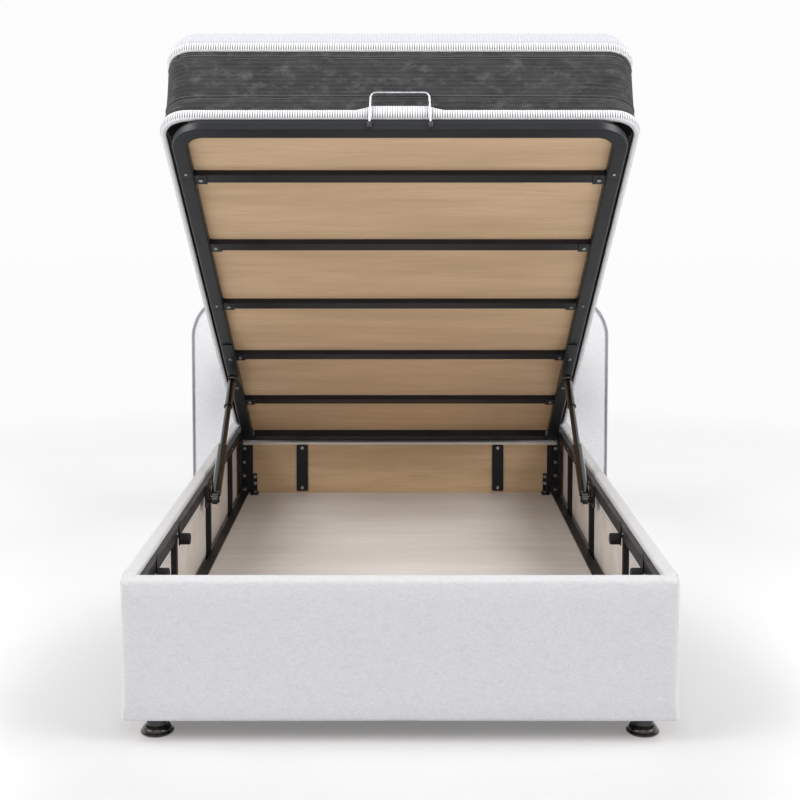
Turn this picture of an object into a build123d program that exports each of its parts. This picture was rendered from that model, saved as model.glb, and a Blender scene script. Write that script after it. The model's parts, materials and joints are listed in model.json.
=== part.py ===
from build123d import *
import os
from math import atan2, cos, hypot, radians, sin

os.makedirs("parts", exist_ok=True)

# Ottoman storage bed, open. X runs across the bed, +Y runs to the headboard and +Z is up.
# The origin is on the floor under the middle of the bed. All lengths are in millimetres.

# Whole bed
base_width = 1260
panel_height = 327
foot_height = 50
lid_angle = 34.1
side_signs = (-1, 1)

# Upholstered boards
board_thickness = 18
outer_padding = 12
top_padding = 8
inner_padding = 8
cover_radius = 7
cover_tuck = 77
lining_thickness = 6
lining_gap = 1

# Headboard
headboard_width = 1574
headboard_top = 847
headboard_corner = 165
headboard_thickness = 65
headboard_board_thickness = 18
headboard_padding = 22
headboard_edge = 15
piping_width = 7
piping_proud = 1
piping_radius = 3

# Steel base frame
steel_wall = 1.5
plate = 4
rail_width = 15
rail_height = 31
rail_drop = 12
bottom_rail_width = 25
bottom_rail_height = 30
floor_lip = 4
floor_level = 134
floor_thickness = 9
floor_seam = 1
upright_width = 20
upright_foot_places = (70, 500)
upright_head_gaps = (805, 275)
batten_width = 25
batten_wall = 1.2
batten_first = 110
batten_second = 545
batten_head_gap = 55
batten_even_count = 4

# Lid frame of bent tube, measured from the pivot towards the foot end
lid_reach = 1857
lid_tail = 38
lid_foot_gap = 40
lid_side_gap = 5
lid_tube_width = 38
lid_tube_height = 25
lid_tube_radius = 4
lid_wall = 1.5
lid_rest_height = 343.5
bow_corner = 85
bow_leg = 217
side_seam_bar_gap = 9
seam_gap = 1.2
connector_length = 90
cross_bar_width = 34
cross_bar_height = 16
cross_bar_first = 276
cross_bar_count = 5
cross_bar_seam_gap = 10
bar_seat = 3
bar_seat_reach = 31
bar_seat_width = 40
panel_board = 11
panel_inset = 7

# Hinge
pin_radius = 6
pin_clearance = 0.05
pin_nut = 4
ear_radius = 20
side_gap = 1
post_flange = 40
post_front = 30
post_back = 21
post_flange_height = 200

# Gas struts
strut_foot_distance = 900
strut_lid_distance = 530
strut_drop = 27
strut_inset = 26
cylinder_radius = 15
cylinder_length = 205
cylinder_floor = 5
rod_radius = 10
rod_clearance = 0.4
rod_end_gap = 2
sleeve_radius = 12.5
sleeve_length = 115
sleeve_collar_radius = 14
sleeve_collar_length = 6
sleeve_cap = 6
eye_radius = 13
eye_neck = 20
eye_thickness = 16
eye_reach = 20
stud_radius = 5
stud_head_radius = 9
stud_head = 4
open_pivot_gap = 0.3
strut_plate_width = 60
strut_plate_low = 20
arm_front = 190
arm_back = 130
arm_nose = 15

# Rests for the closed lid
bumper_radius = 15
bumper_length = 26
bumper_edge = 2
bumper_gap = 0.3
bumper_plate = 3
bumper_tab_width = 24
bumper_tab_rise = 12
bumper_places = (205, 535)

# Mattress
mattress_width = 1206
mattress_tail = 23
mattress_foot_gap = 3
mattress_corner = 75
mattress_top_corner = 44
tape_height = 28
tape_thickness = 3
border_height = 188
border_waist = 5
crown_height = 92
crown_shoulder = 80
crown_round = 60
crown_angles = (0, 25, 50, 70, 90)
crown_flat_inset = 330
headboard_gap = 20

# Retainer wire at the foot end
wire_radius = 2.5
wire_half_width = 76
wire_half_top = 73
wire_low = 4
wire_high = 110
wire_bend = 14
wire_play = 0.6
collar_radius = 5.5
collar_low = 2
collar_high = 18

# Feet
foot_inset = 74
foot_front = 70
foot_middle = 1080
foot_behind_pivot = 140
foot_disc_radius = 38
foot_disc_height = 9
foot_dome_radius = 34
foot_dome_height = 12
foot_dome_swell = 1.5
foot_neck_radius = 24.5
foot_edge = 3
foot_block_width = 80
foot_block_length = 90

# Back of the storage box
back_thickness = 9
ledge_thickness = 8
ledge_height = 318
strap_width = 41
strap_place = 357
strap_low = 6
strap_corner = 5
bracket_width = 14
bracket_height = 70
bracket_foot_width = 28
bracket_foot_length = 48
bracket_inset = 48

# Fasteners
bolt_radius = 6
bolt_head = 4
bolt_corner = 1.2
screw_radius = 4
screw_head = 2
screw_corner = 0.8

# Levels and places that follow from the sizes above
panel_thickness = outer_padding + board_thickness + inner_padding
panel_top = foot_height + panel_height
half_width = base_width / 2
inner_face = half_width - panel_thickness
board_outer = half_width - outer_padding
board_inner = board_outer - board_thickness
board_top = panel_top - top_padding
rail_inner = inner_face - rail_width
rail_top = panel_top - rail_drop
rail_bottom = rail_top - rail_height
rail_middle = (rail_top + rail_bottom) / 2
lid_half_width = rail_inner - lid_side_gap
lid_inner = lid_half_width - lid_tube_width
lid_tube_x = lid_half_width - lid_tube_width / 2
pivot_level = lid_tube_height / 2
pivot_height = lid_rest_height + pivot_level
pivot_from_front = panel_thickness + lid_foot_gap + lid_reach
upright_places = [*upright_foot_places, *(pivot_from_front - gap for gap in upright_head_gaps)]
batten_pitch = (pivot_from_front - batten_head_gap - batten_second) / (batten_even_count - 1)
batten_places = [batten_first] + [batten_second + batten_pitch * i for i in range(batten_even_count)]
foot_places = (foot_front, foot_middle, pivot_from_front + foot_behind_pivot)
bracket_place = rail_inner - bracket_inset
bed_base = lid_tube_height + panel_board
waist_low = bed_base + tape_height
waist_high = waist_low + border_height
tape_top = waist_high + tape_height
mattress_top = tape_top + crown_height
slope = radians(lid_angle)

# The head end of the mattress swings back as the lid opens, so the headboard stands behind that
swing_tail = (mattress_tail - crown_round) * cos(slope)
swing_rise = (mattress_top - pivot_level - crown_round) * sin(slope)
mattress_swing = swing_tail + swing_rise + crown_round
headboard_from_front = pivot_from_front + mattress_swing + headboard_gap
overall_length = headboard_from_front + headboard_thickness
front_y = -overall_length / 2
pivot_y = front_y + pivot_from_front
headboard_y = front_y + headboard_from_front
headboard_board_y = headboard_y + (headboard_thickness - headboard_board_thickness) / 2
inner_front_y = front_y + panel_thickness
lining_y = inner_front_y + lining_thickness
back_y = pivot_y + post_back
back_face_y = back_y - plate
post_y = pivot_y - post_front
ledge_bottom = ledge_height - ledge_thickness
bottom_rail_top = floor_level + floor_lip
bottom_rail_bottom = bottom_rail_top - bottom_rail_height
bottom_rail_inner = rail_inner - bottom_rail_width
batten_top = floor_level - floor_thickness
bumper_height = lid_rest_height - bumper_gap - bumper_radius
bow_seam = lid_reach - bow_leg
cross_bar_last = bow_seam - cross_bar_seam_gap
cross_bar_pitch = (cross_bar_last - cross_bar_first) / (cross_bar_count - 1)
bars = [cross_bar_first + cross_bar_pitch * i for i in range(cross_bar_count)]
side_seam = bars[cross_bar_count // 2] - side_seam_bar_gap
arm_low = strut_lid_distance - arm_back
arm_high = strut_lid_distance + arm_front

# Each strut in its own upright plane, from its pivot on the rail to its pivot under the lid
strut_x = rail_inner - strut_inset
strut_pivot_y = pivot_y - strut_foot_distance
strut_pivot_z = lid_rest_height - strut_drop
strut_rise = -strut_drop - pivot_level
strut_top_y = pivot_y - strut_lid_distance * cos(slope) + strut_rise * sin(slope)
strut_top_z = pivot_height + strut_lid_distance * sin(slope) + strut_rise * cos(slope)
strut_open = hypot(strut_top_y - strut_pivot_y, strut_top_z - strut_pivot_z)
strut_closed = strut_foot_distance - strut_lid_distance
strut_stroke = strut_open - strut_closed
strut_angle = atan2(strut_top_z - strut_pivot_z, strut_top_y - strut_pivot_y)
rod_tail = eye_reach + cylinder_floor + rod_end_gap + strut_stroke


def keep(piece, label):
    # Names a finished piece and writes it to its own file.
    piece.part.label = label
    export_step(piece.part, f"parts/{label}.step")


def side_name(sign):
    return "left" if sign < 0 else "right"


def mirrored(piece, sign):
    # The piece as built on the right, or its mirror image for the left side.
    if sign > 0:
        return piece
    with BuildPart() as other:
        add(mirror(piece.part, about=Plane.YZ))
    return other


def block(low, high, mode=Mode.ADD):
    # A square-cornered block between two opposite corners.
    middle = [(a + b) / 2 for a, b in zip(low, high)]
    sizes = [abs(b - a) for a, b in zip(low, high)]
    with Locations(tuple(middle)):
        Box(*sizes, mode=mode)


def hollow_section(plane, width, height, wall):
    # The square-cornered section of a tube, centred on its plane.
    with BuildSketch(plane) as section:
        Rectangle(width, height)
        Rectangle(width - 2 * wall, height - 2 * wall, mode=Mode.SUBTRACT)
    return section.sketch


def rounded_section(plane, width, height, radius, wall):
    # The same with rounded corners, standing on its plane's origin.
    with BuildSketch(plane) as section:
        with Locations((0, lid_tube_height / 2)):
            RectangleRounded(width, height, radius)
            RectangleRounded(width - 2 * wall, height - 2 * wall, radius - wall, mode=Mode.SUBTRACT)
    return section.sketch


def bolt(radius, height, corner):
    # A hexagon head with a round top, standing on the ground plane.
    with BuildPart() as head:
        with BuildSketch():
            RegularPolygon(radius, 6)
        extrude(amount=height - corner)
        with BuildSketch(Plane.XY.offset(height - corner)):
            Circle(radius - corner)
        extrude(amount=corner)
    return head.part


def inward(sign, x, y, z):
    # An upright plane on one side of the bed that faces the other side.
    return Plane(origin=(sign * x, y, z), x_dir=(0, -sign, 0), z_dir=(-sign, 0, 0))


def footward(x, y, z):
    # An upright plane that faces the foot end.
    return Plane(origin=(x, y, z), x_dir=(1, 0, 0), z_dir=(0, -1, 0))


def lid_level(level):
    # A plane parallel to the lid, `level` above the underside of its tubes, y towards the head.
    pivot = Plane(origin=(0, pivot_y, pivot_height), x_dir=(1, 0, 0), z_dir=(0, sin(slope), cos(slope)))
    return pivot.offset(level - pivot_level)


def lid_point(x, reach, level):
    # The place `reach` from the pivot towards the foot end and `level` above the tubes' underside.
    return lid_level(level).from_local_coords(Vector(x, -reach, 0))


def lid_across(x):
    # A plane along the lid's length that faces -X: x towards the foot end, y up from the lid.
    return Plane(origin=lid_point(x, 0, 0), x_dir=(0, -cos(slope), sin(slope)), z_dir=(-1, 0, 0))


def lid_along(x, reach):
    # A plane square to the lid's length that faces the foot end.
    return Plane(origin=lid_point(x, reach, 0), x_dir=(1, 0, 0), z_dir=(0, -cos(slope), sin(slope)))


def lid_under(x, reach, level):
    # A plane that faces down from the lid.
    return Plane(
        origin=lid_point(x, reach, level), x_dir=(1, 0, 0), z_dir=(0, -sin(slope), -cos(slope))
    )


def strut_point(distance):
    # The place `distance` up the right strut from its lower pivot.
    direction = Vector(0, cos(strut_angle), sin(strut_angle))
    return Vector(strut_x, strut_pivot_y, strut_pivot_z) + direction * distance


def strut_across(distance):
    # A plane square to the right strut.
    return Plane(
        origin=strut_point(distance), x_dir=(1, 0, 0), z_dir=(0, cos(strut_angle), sin(strut_angle))
    )


def strut_along(distance):
    # A plane that holds the right strut: x up the strut.
    return Plane(
        origin=strut_point(distance), x_dir=(0, cos(strut_angle), sin(strut_angle)), z_dir=(1, 0, 0)
    )


# Upholstered panels


def front_board():
    with BuildPart() as piece:
        low = (-board_outer, front_y + outer_padding, foot_height)
        high = (board_outer, front_y + outer_padding + board_thickness, board_top)
        block(low, high)
    keep(piece, "front_board")


def front_cover():
    # A padded sleeve drawn over the board from above, closed at both ends.
    with BuildPart() as piece:
        block((-half_width, front_y, foot_height), (half_width, inner_front_y, panel_top))
        fillet(piece.edges().filter_by(Axis.Z).group_by(Axis.Y)[0], cover_radius)
        fillet(piece.edges().group_by(Axis.Z)[-1], cover_radius)
        low = (-board_outer, front_y + outer_padding, foot_height)
        high = (board_outer, front_y + outer_padding + board_thickness, board_top)
        block(low, high, mode=Mode.SUBTRACT)
    keep(piece, "front_cover")


def side_board(sign):
    with BuildPart() as piece:
        low = (sign * board_inner, inner_front_y, foot_height)
        high = (sign * board_outer, headboard_y, board_top)
        block(low, high)
    keep(piece, f"{side_name(sign)}_board")


def side_cover(sign):
    # Padding outside and over the top, with a short tucked edge inside.
    tuck_low = panel_top - cover_tuck
    with BuildPart() as piece:
        with BuildSketch(footward(0, headboard_y, 0)):
            with BuildLine():
                Polyline(
                    (half_width, foot_height),
                    (half_width, panel_top),
                    (inner_face, panel_top),
                    (inner_face, tuck_low),
                    (board_inner, tuck_low),
                    (board_inner, board_top),
                    (board_outer, board_top),
                    (board_outer, foot_height),
                    close=True,
                )
            make_face()
        extrude(amount=headboard_y - inner_front_y)
        fillet(piece.edges().filter_by(Axis.Y).group_by(Axis.Z)[-1], cover_radius)
    keep(mirrored(piece, sign), f"{side_name(sign)}_cover")


def side_linings():
    with BuildPart() as piece:
        for sign in side_signs:
            low = (sign * inner_face, inner_front_y, bottom_rail_bottom)
            high = (sign * board_inner, back_y + back_thickness, panel_top - cover_tuck)
            block(low, high)
    keep(piece, "side_linings")


def front_lining():
    with BuildPart() as piece:
        low = (-inner_face, inner_front_y, floor_level)
        block(low, (inner_face, lining_y, rail_bottom - lining_gap))
    keep(piece, "front_lining")


def headboard_face(y, inset):
    # The headboard's shape, square at the foot and with large round corners at the top.
    half = headboard_width / 2 - inset
    top = headboard_top - inset
    turn = headboard_corner - inset
    with BuildSketch(footward(0, y, 0)) as face:
        with BuildLine():
            Line((-half, foot_height), (half, foot_height))
            Line((half, foot_height), (half, top - turn))
            CenterArc((half - turn, top - turn), turn, 0, 90)
            Line((half - turn, top), (turn - half, top))
            CenterArc((turn - half, top - turn), turn, 90, 90)
            Line((-half, top - turn), (-half, foot_height))
        make_face()
    return face.sketch


def headboard_board():
    with BuildPart() as piece:
        extrude(headboard_face(headboard_board_y, headboard_padding), amount=-headboard_board_thickness)
    keep(piece, "headboard_board")


def headboard_cover():
    # A padded cover with a rebate round its front edge for the piping and a soft back edge.
    with BuildPart() as piece:
        extrude(headboard_face(headboard_y + piping_width, 0), amount=piping_width - headboard_thickness)
        back = piece.faces().sort_by(Axis.Y)[-1]
        fillet([e for e in back.edges() if e.center().Z > foot_height + headboard_edge], headboard_edge)
        extrude(headboard_face(headboard_y, piping_width), amount=-piping_width)
        extrude(
            headboard_face(headboard_board_y, headboard_padding),
            amount=-headboard_board_thickness,
            mode=Mode.SUBTRACT,
        )
    keep(piece, "headboard_cover")


def headboard_piping():
    # A corded seam in that rebate, a little proud of the cover.
    depth = piping_width + piping_proud
    with BuildPart() as piece:
        extrude(headboard_face(headboard_y - piping_proud, -piping_proud), amount=-depth)
        rims = [e for e in piece.edges() if abs(e.tangent_at(0.5).Y) < 0.5 and not at_foot(e)]
        fillet(rims, piping_radius)
        inner = headboard_face(headboard_y - piping_proud, piping_width)
        extrude(inner, amount=-depth, mode=Mode.SUBTRACT)
    keep(piece, "headboard_piping")


def at_foot(edge):
    return edge.center().Z < foot_height + piping_radius


# Storage box


def floor_board(label, low_y, high_y):
    with BuildPart() as piece:
        block((-bottom_rail_inner, low_y, batten_top), (bottom_rail_inner, high_y, floor_level))
    keep(piece, label)


def floor_battens():
    # Hollow battens from one bottom rail to the other.
    height = batten_top - bottom_rail_bottom
    with BuildPart() as piece:
        for place in batten_places:
            start = inward(1, bottom_rail_inner, front_y + place, bottom_rail_bottom + height / 2)
            extrude(hollow_section(start, batten_width, height, batten_wall), amount=2 * bottom_rail_inner)
    keep(piece, "floor_battens")


def back_panel():
    with BuildPart() as piece:
        low = (-rail_inner, back_y, bottom_rail_bottom)
        block(low, (rail_inner, back_y + back_thickness, ledge_bottom))
    keep(piece, "back_panel")


def head_ledge():
    # Closes the gap between the storage box and the headboard.
    with BuildPart() as piece:
        block((-inner_face, back_y, ledge_bottom), (inner_face, headboard_y, ledge_height))
    keep(piece, "head_ledge")


def back_straps():
    with BuildPart() as piece:
        for sign in side_signs:
            middle = sign * strap_place
            low = (middle - strap_width / 2, back_face_y, floor_level + strap_low)
            block(low, (middle + strap_width / 2, back_y, ledge_bottom))
        fillet(piece.edges().filter_by(Axis.Y), strap_corner)
    keep(piece, "back_straps")


# Steel base frame


def top_rail(sign):
    with BuildPart() as piece:
        start = footward(sign * (inner_face - rail_width / 2), headboard_y, rail_middle)
        section = hollow_section(start, rail_width, rail_height, steel_wall)
        extrude(section, amount=headboard_y - inner_front_y)
    keep(piece, f"{side_name(sign)}_rail")


def front_rail():
    with BuildPart() as piece:
        start = inward(1, rail_inner, inner_front_y + rail_width / 2, rail_middle)
        extrude(hollow_section(start, rail_width, rail_height, steel_wall), amount=2 * rail_inner)
    keep(piece, "front_rail")


def bottom_rail(sign):
    with BuildPart() as piece:
        middle = bottom_rail_bottom + bottom_rail_height / 2
        start = footward(sign * (rail_inner - bottom_rail_width / 2), post_y, middle)
        section = hollow_section(start, bottom_rail_width, bottom_rail_height, steel_wall)
        extrude(section, amount=post_y - lining_y)
    keep(piece, f"{side_name(sign)}_bottom_rail")


def uprights():
    with BuildPart() as piece:
        for sign in side_signs:
            for place in upright_places:
                middle = (sign * (inner_face - rail_width / 2), front_y + place, bottom_rail_bottom)
                section = hollow_section(Plane(origin=middle), rail_width, upright_width, steel_wall)
                extrude(section, amount=rail_bottom - bottom_rail_bottom)
    keep(piece, "uprights")


def post(sign):
    # An angle post: its side plate ends in the rounded hinge ear, its flange faces the foot end.
    with BuildPart() as piece:
        with BuildSketch(inward(1, rail_inner, pivot_y, 0)):
            with BuildLine():
                Line((post_front, bottom_rail_bottom), (-post_back, bottom_rail_bottom))
                Line((-post_back, bottom_rail_bottom), (-post_back, pivot_height - post_back))
                Line((-post_back, pivot_height - post_back), (-ear_radius, pivot_height))
                CenterArc((0, pivot_height), ear_radius, 180, -180)
                Line((ear_radius, pivot_height), (post_front, pivot_height - post_front))
                Line((post_front, pivot_height - post_front), (post_front, bottom_rail_bottom))
            make_face()
            with Locations((0, pivot_height)):
                Circle(pin_radius, mode=Mode.SUBTRACT)
        extrude(amount=plate)
        low = (rail_inner - plate, back_face_y, bottom_rail_bottom)
        high = (rail_inner - post_flange, back_y, bottom_rail_bottom + post_flange_height)
        block(low, high)
    keep(mirrored(piece, sign), f"{side_name(sign)}_post")


def hinge_pins():
    # A pin through each ear and both walls of the lid's side tube, with a nut inside.
    with BuildPart() as piece:
        for sign in side_signs:
            start = inward(sign, rail_inner, pivot_y, pivot_height)
            with BuildSketch(start):
                Circle(pin_radius)
            extrude(amount=rail_inner - lid_inner + side_gap + pin_nut)
            with BuildSketch(start.offset(rail_inner - lid_inner + side_gap)):
                RegularPolygon(pin_radius + pin_nut, 6)
            extrude(amount=pin_nut)
    keep(piece, "hinge_pins")


def bumper_brackets():
    # Rounded tabs on the rails' inner faces.
    top = rail_top + bumper_tab_rise - bumper_tab_width / 2
    low = bumper_height - bumper_radius
    with BuildPart() as piece:
        for sign in side_signs:
            for place in bumper_places:
                with BuildSketch(inward(sign, rail_inner, front_y + place, 0)):
                    with Locations((0, (top + low) / 2)):
                        Rectangle(bumper_tab_width, top - low)
                    with Locations((0, top)):
                        Circle(bumper_tab_width / 2)
                extrude(amount=bumper_plate)
    keep(piece, "bumper_brackets")


def rubber_bumpers():
    # Short rubber barrels that the closed lid's side tubes lie on.
    face_x = rail_inner - bumper_plate
    with BuildPart() as piece:
        for sign in side_signs:
            for place in bumper_places:
                with BuildSketch(inward(sign, face_x, front_y + place, bumper_height)):
                    Circle(bumper_radius)
                extrude(amount=bumper_length)
        rounds = piece.edges().filter_by(GeomType.CIRCLE)
        chamfer([e for e in rounds if abs(e.center().X) < face_x - bumper_length / 2], bumper_edge)
    keep(piece, "rubber_bumpers")


def strut_brackets():
    # Plates on the rails with the headed stud that each strut's lower eye turns on.
    rise = rail_top - strut_pivot_z
    eye_inner = strut_inset + eye_thickness / 2 + side_gap
    eye_outer = strut_inset - eye_thickness / 2 - side_gap
    with BuildPart() as piece:
        for sign in side_signs:
            face = inward(sign, rail_inner, strut_pivot_y, strut_pivot_z)
            with BuildSketch(face):
                with Locations((0, (rise - strut_plate_low) / 2)):
                    RectangleRounded(strut_plate_width, rise + strut_plate_low, stud_head_radius)
            extrude(amount=plate)
            with BuildSketch(face.offset(plate)):
                Circle(stud_head_radius)
            extrude(amount=eye_outer - plate)
            with BuildSketch(face.offset(plate)):
                Circle(stud_radius)
            extrude(amount=eye_inner - plate)
            with BuildSketch(face.offset(eye_inner)):
                RegularPolygon(stud_head_radius, 6)
            extrude(amount=stud_head)
    keep(piece, "strut_brackets")


def floor_brackets():
    # Small angles that hold the back panel down to the floor.
    with BuildPart() as piece:
        for sign in side_signs:
            middle = sign * bracket_place
            low = (middle - bracket_width / 2, back_face_y, floor_level)
            block(low, (middle + bracket_width / 2, back_y, floor_level + bracket_height))
            low = (middle - bracket_foot_width / 2, back_y - bracket_foot_length, floor_level)
            block(low, (middle + bracket_foot_width / 2, back_face_y, floor_level + plate))
    keep(piece, "floor_brackets")


def headboard_brackets():
    # Angles that bolt the rails to the headboard's face.
    with BuildPart() as piece:
        for sign in side_signs:
            low = (sign * rail_inner, headboard_y - plate, ledge_height)
            block(low, (sign * (rail_inner - post_flange), headboard_y, rail_top))
            low = (sign * rail_inner, headboard_y - post_flange, ledge_height)
            block(low, (sign * (rail_inner - plate), headboard_y - plate, rail_top))
    keep(piece, "headboard_brackets")


def back_bolt_places():
    # On each post's flange, on each strap and on each floor bracket.
    post_x = rail_inner - post_flange / 4
    low = floor_level + 2 * bolt_radius
    high = bottom_rail_bottom + post_flange_height - 2 * bolt_radius
    bracket_high = floor_level + bracket_height - 2 * bolt_radius
    places = [(post_x, low + (high - low) * step / 3) for step in range(4)]
    places += [(strap_place, low + strap_low), (strap_place, ledge_bottom - 2 * bolt_radius)]
    places += [(bracket_place, bracket_high), (bracket_place, bracket_high - 4 * bolt_radius)]
    return places


def base_bolts():
    # Bolt heads at the back of the box and screw heads along the side frames.
    planes = []
    screws = []
    foot_y = back_face_y - bracket_foot_length / 4
    for sign in side_signs:
        planes += [footward(sign * x, back_face_y, z) for x, z in back_bolt_places()]
        planes += [Plane(origin=(sign * bracket_place, foot_y, floor_level + plate))]
        screws += [inward(sign, rail_inner, front_y + y, rail_middle) for y in upright_places]
        low = bottom_rail_top + 2 * screw_radius
        screws += [inward(sign, rail_inner, front_y + y, low) for y in upright_places]
    with BuildPart() as piece:
        with Locations(*planes):
            add(bolt(bolt_radius, bolt_head, bolt_corner))
        with Locations(*screws):
            add(bolt(screw_radius, screw_head, screw_corner))
    keep(piece, "base_bolts")


def foot_positions():
    half = half_width - foot_inset
    return [(sign * half, front_y + place) for sign in side_signs for place in foot_places]


def feet():
    # Turned plastic feet: a wide disc, a low dome and a neck.
    dome_top = foot_disc_height + foot_dome_height
    swell_x = (foot_dome_radius + foot_neck_radius) / 2 + foot_dome_swell
    swell_z = (foot_disc_height + dome_top) / 2 + foot_dome_swell
    with BuildPart() as piece:
        for x, y in foot_positions():
            with BuildSketch(footward(x, y, 0)):
                with BuildLine():
                    Polyline(
                        (foot_neck_radius, dome_top),
                        (foot_neck_radius, foot_height),
                        (0, foot_height),
                        (0, 0),
                        (foot_disc_radius - foot_edge, 0),
                        (foot_disc_radius, foot_edge),
                        (foot_disc_radius, foot_disc_height - foot_edge),
                        (foot_dome_radius, foot_disc_height),
                    )
                    ThreePointArc(
                        (foot_dome_radius, foot_disc_height),
                        (swell_x, swell_z),
                        (foot_neck_radius, dome_top),
                    )
                make_face()
            revolve(axis=Axis((x, y, 0), (0, 0, 1)))
    keep(piece, "feet")


def foot_blocks():
    # Hardwood blocks in the box's lower corners, between the feet and the bottom rails.
    with BuildPart() as piece:
        for x, y in foot_positions():
            sign = 1 if x > 0 else -1
            low_y = max(y - foot_block_length / 2, inner_front_y)
            low = (sign * (board_inner - foot_block_width), low_y, foot_height)
            block(low, (sign * board_inner, y + foot_block_length / 2, bottom_rail_bottom))
    keep(piece, "foot_blocks")


# Lid frame


def lid_tube(plane):
    return rounded_section(plane, lid_tube_width, lid_tube_height, lid_tube_radius, lid_wall)


def lid_foot_bow():
    # One bent tube across the foot end, with a short leg on each side.
    end = lid_reach - lid_tube_width / 2
    with BuildPart() as piece:
        with BuildLine(lid_level(0)) as path:
            FilletPolyline(
                (-lid_tube_x, -bow_seam),
                (-lid_tube_x, -end),
                (lid_tube_x, -end),
                (lid_tube_x, -bow_seam),
                radius=bow_corner - lid_tube_width / 2,
            )
        sweep(lid_tube(lid_along(-lid_tube_x, bow_seam)), path=path.wires()[0])
    keep(piece, "lid_foot_bow")


def lid_side_tube(sign):
    # Two lengths of tube that meet at a seam, the rear one bored for the hinge pin.
    with BuildPart() as piece:
        for start, end in ((-lid_tail, side_seam), (side_seam, bow_seam)):
            extrude(lid_tube(lid_along(sign * lid_tube_x, start)), amount=end - start - seam_gap)
        with BuildSketch(lid_across(sign * lid_tube_x)):
            with Locations((0, pivot_level)):
                Circle(pin_radius + pin_clearance)
        extrude(amount=lid_tube_width, both=True, mode=Mode.SUBTRACT)
    keep(piece, f"{side_name(sign)}_side_tube")


def tube_connectors():
    # Snug inserts inside the tubes across each seam.
    width = lid_tube_width - 2 * lid_wall
    height = lid_tube_height - 2 * lid_wall
    with BuildPart() as piece:
        for sign in side_signs:
            for seam in (side_seam, bow_seam):
                start = lid_along(sign * lid_tube_x, seam - connector_length / 2)
                section = rounded_section(start, width, height, lid_tube_radius - lid_wall, lid_wall)
                extrude(section, amount=connector_length)
    keep(piece, "tube_connectors")


def head_bar():
    # The tube that joins the side tubes behind the pivot, cut round the hinge nuts.
    middle = lid_across(lid_inner).from_local_coords(
        Vector(lid_tube_width / 2 - lid_tail, lid_tube_height / 2, 0)
    )
    start = Plane(origin=middle, x_dir=(0, -cos(slope), sin(slope)), z_dir=(-1, 0, 0))
    with BuildPart() as piece:
        extrude(hollow_section(start, lid_tube_width, lid_tube_height, lid_wall), amount=2 * lid_inner)
        for sign in side_signs:
            with BuildSketch(lid_across(sign * lid_inner)):
                with Locations((0, pivot_level)):
                    Circle(pin_radius + pin_nut + side_gap)
            extrude(amount=sign * (pin_nut + 2 * side_gap), mode=Mode.SUBTRACT)
    keep(piece, "head_bar")


def cross_bar(number, reach):
    half = lid_inner - bar_seat
    middle = lid_point(half, reach, lid_tube_height - cross_bar_height / 2)
    start = Plane(origin=middle, x_dir=(0, -cos(slope), sin(slope)), z_dir=(-1, 0, 0))
    with BuildPart() as piece:
        extrude(hollow_section(start, cross_bar_width, cross_bar_height, batten_wall), amount=2 * half)
    keep(piece, f"cross_bar_{number}")


def bar_seats():
    # Angle seats on the side tubes' inner faces, one under each end of each bar.
    under = lid_tube_height - cross_bar_height
    with BuildPart() as piece:
        for sign in side_signs:
            for reach in bars:
                with BuildSketch(lid_along(0, reach - bar_seat_width / 2)):
                    with BuildLine():
                        Polyline(
                            (sign * lid_inner, under - bar_seat),
                            (sign * lid_inner, lid_tube_height),
                            (sign * (lid_inner - bar_seat), lid_tube_height),
                            (sign * (lid_inner - bar_seat), under),
                            (sign * (lid_inner - bar_seat_reach), under),
                            (sign * (lid_inner - bar_seat_reach), under - bar_seat),
                            close=True,
                        )
                    make_face()
                extrude(amount=bar_seat_width)
    keep(piece, "bar_seats")


def lid_panel():
    # The board that the mattress lies on, over the whole frame.
    low = panel_inset - lid_tail
    high = lid_reach - panel_inset
    width = 2 * (lid_half_width - panel_inset)
    with BuildPart() as piece:
        with BuildSketch(lid_level(lid_tube_height)):
            with Locations((0, -(low + high) / 2)):
                RectangleRounded(width, high - low, bow_corner - panel_inset)
        extrude(amount=panel_board)
    keep(piece, "lid_panel")


def strut_arms():
    # Angle plates under the side tubes, with a rounded nose beside each strut's upper eye.
    flange = lid_tube_width * 3 / 4
    with BuildPart() as piece:
        for sign in side_signs:
            with BuildSketch(lid_across(sign * lid_inner)):
                with BuildLine():
                    Polyline(
                        (arm_low, 0),
                        (arm_low, -plate),
                        (strut_lid_distance - arm_nose, -strut_drop),
                        (strut_lid_distance + arm_nose, -strut_drop),
                        (arm_high, -plate),
                        (arm_high, 0),
                        close=True,
                    )
                make_face()
                with Locations((strut_lid_distance, -strut_drop)):
                    Circle(arm_nose)
            extrude(amount=sign * plate)
            with BuildSketch(lid_level(0)):
                with Locations((sign * (lid_inner + flange / 2), -(arm_low + arm_high) / 2)):
                    Rectangle(flange, arm_high - arm_low)
            extrude(amount=-plate)
    keep(piece, "strut_arms")


def lid_bolts():
    # Heads under the bar seats and the strut arms, and small screws beside the tube seams.
    under = lid_tube_height - cross_bar_height - bar_seat
    seat_x = lid_inner - bar_seat_reach / 2
    arm_x = lid_inner + lid_tube_width * 3 / 8
    planes = []
    screws = []
    for sign in side_signs:
        planes += [lid_under(sign * seat_x, reach, under) for reach in bars]
        planes += [lid_under(sign * arm_x, arm_low + 2 * bolt_radius, -plate)]
        planes += [lid_under(sign * arm_x, strut_lid_distance + arm_front / 2, -plate)]
        for seam in (side_seam, bow_seam):
            screws += [lid_under(sign * lid_tube_x, seam + connector_length / 4, 0)]
    with BuildPart() as piece:
        with Locations(*planes):
            add(bolt(bolt_radius, bolt_head, bolt_corner))
        with Locations(*screws):
            add(bolt(screw_radius, screw_head, screw_corner))
    keep(piece, "lid_bolts")


# Gas struts


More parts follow.
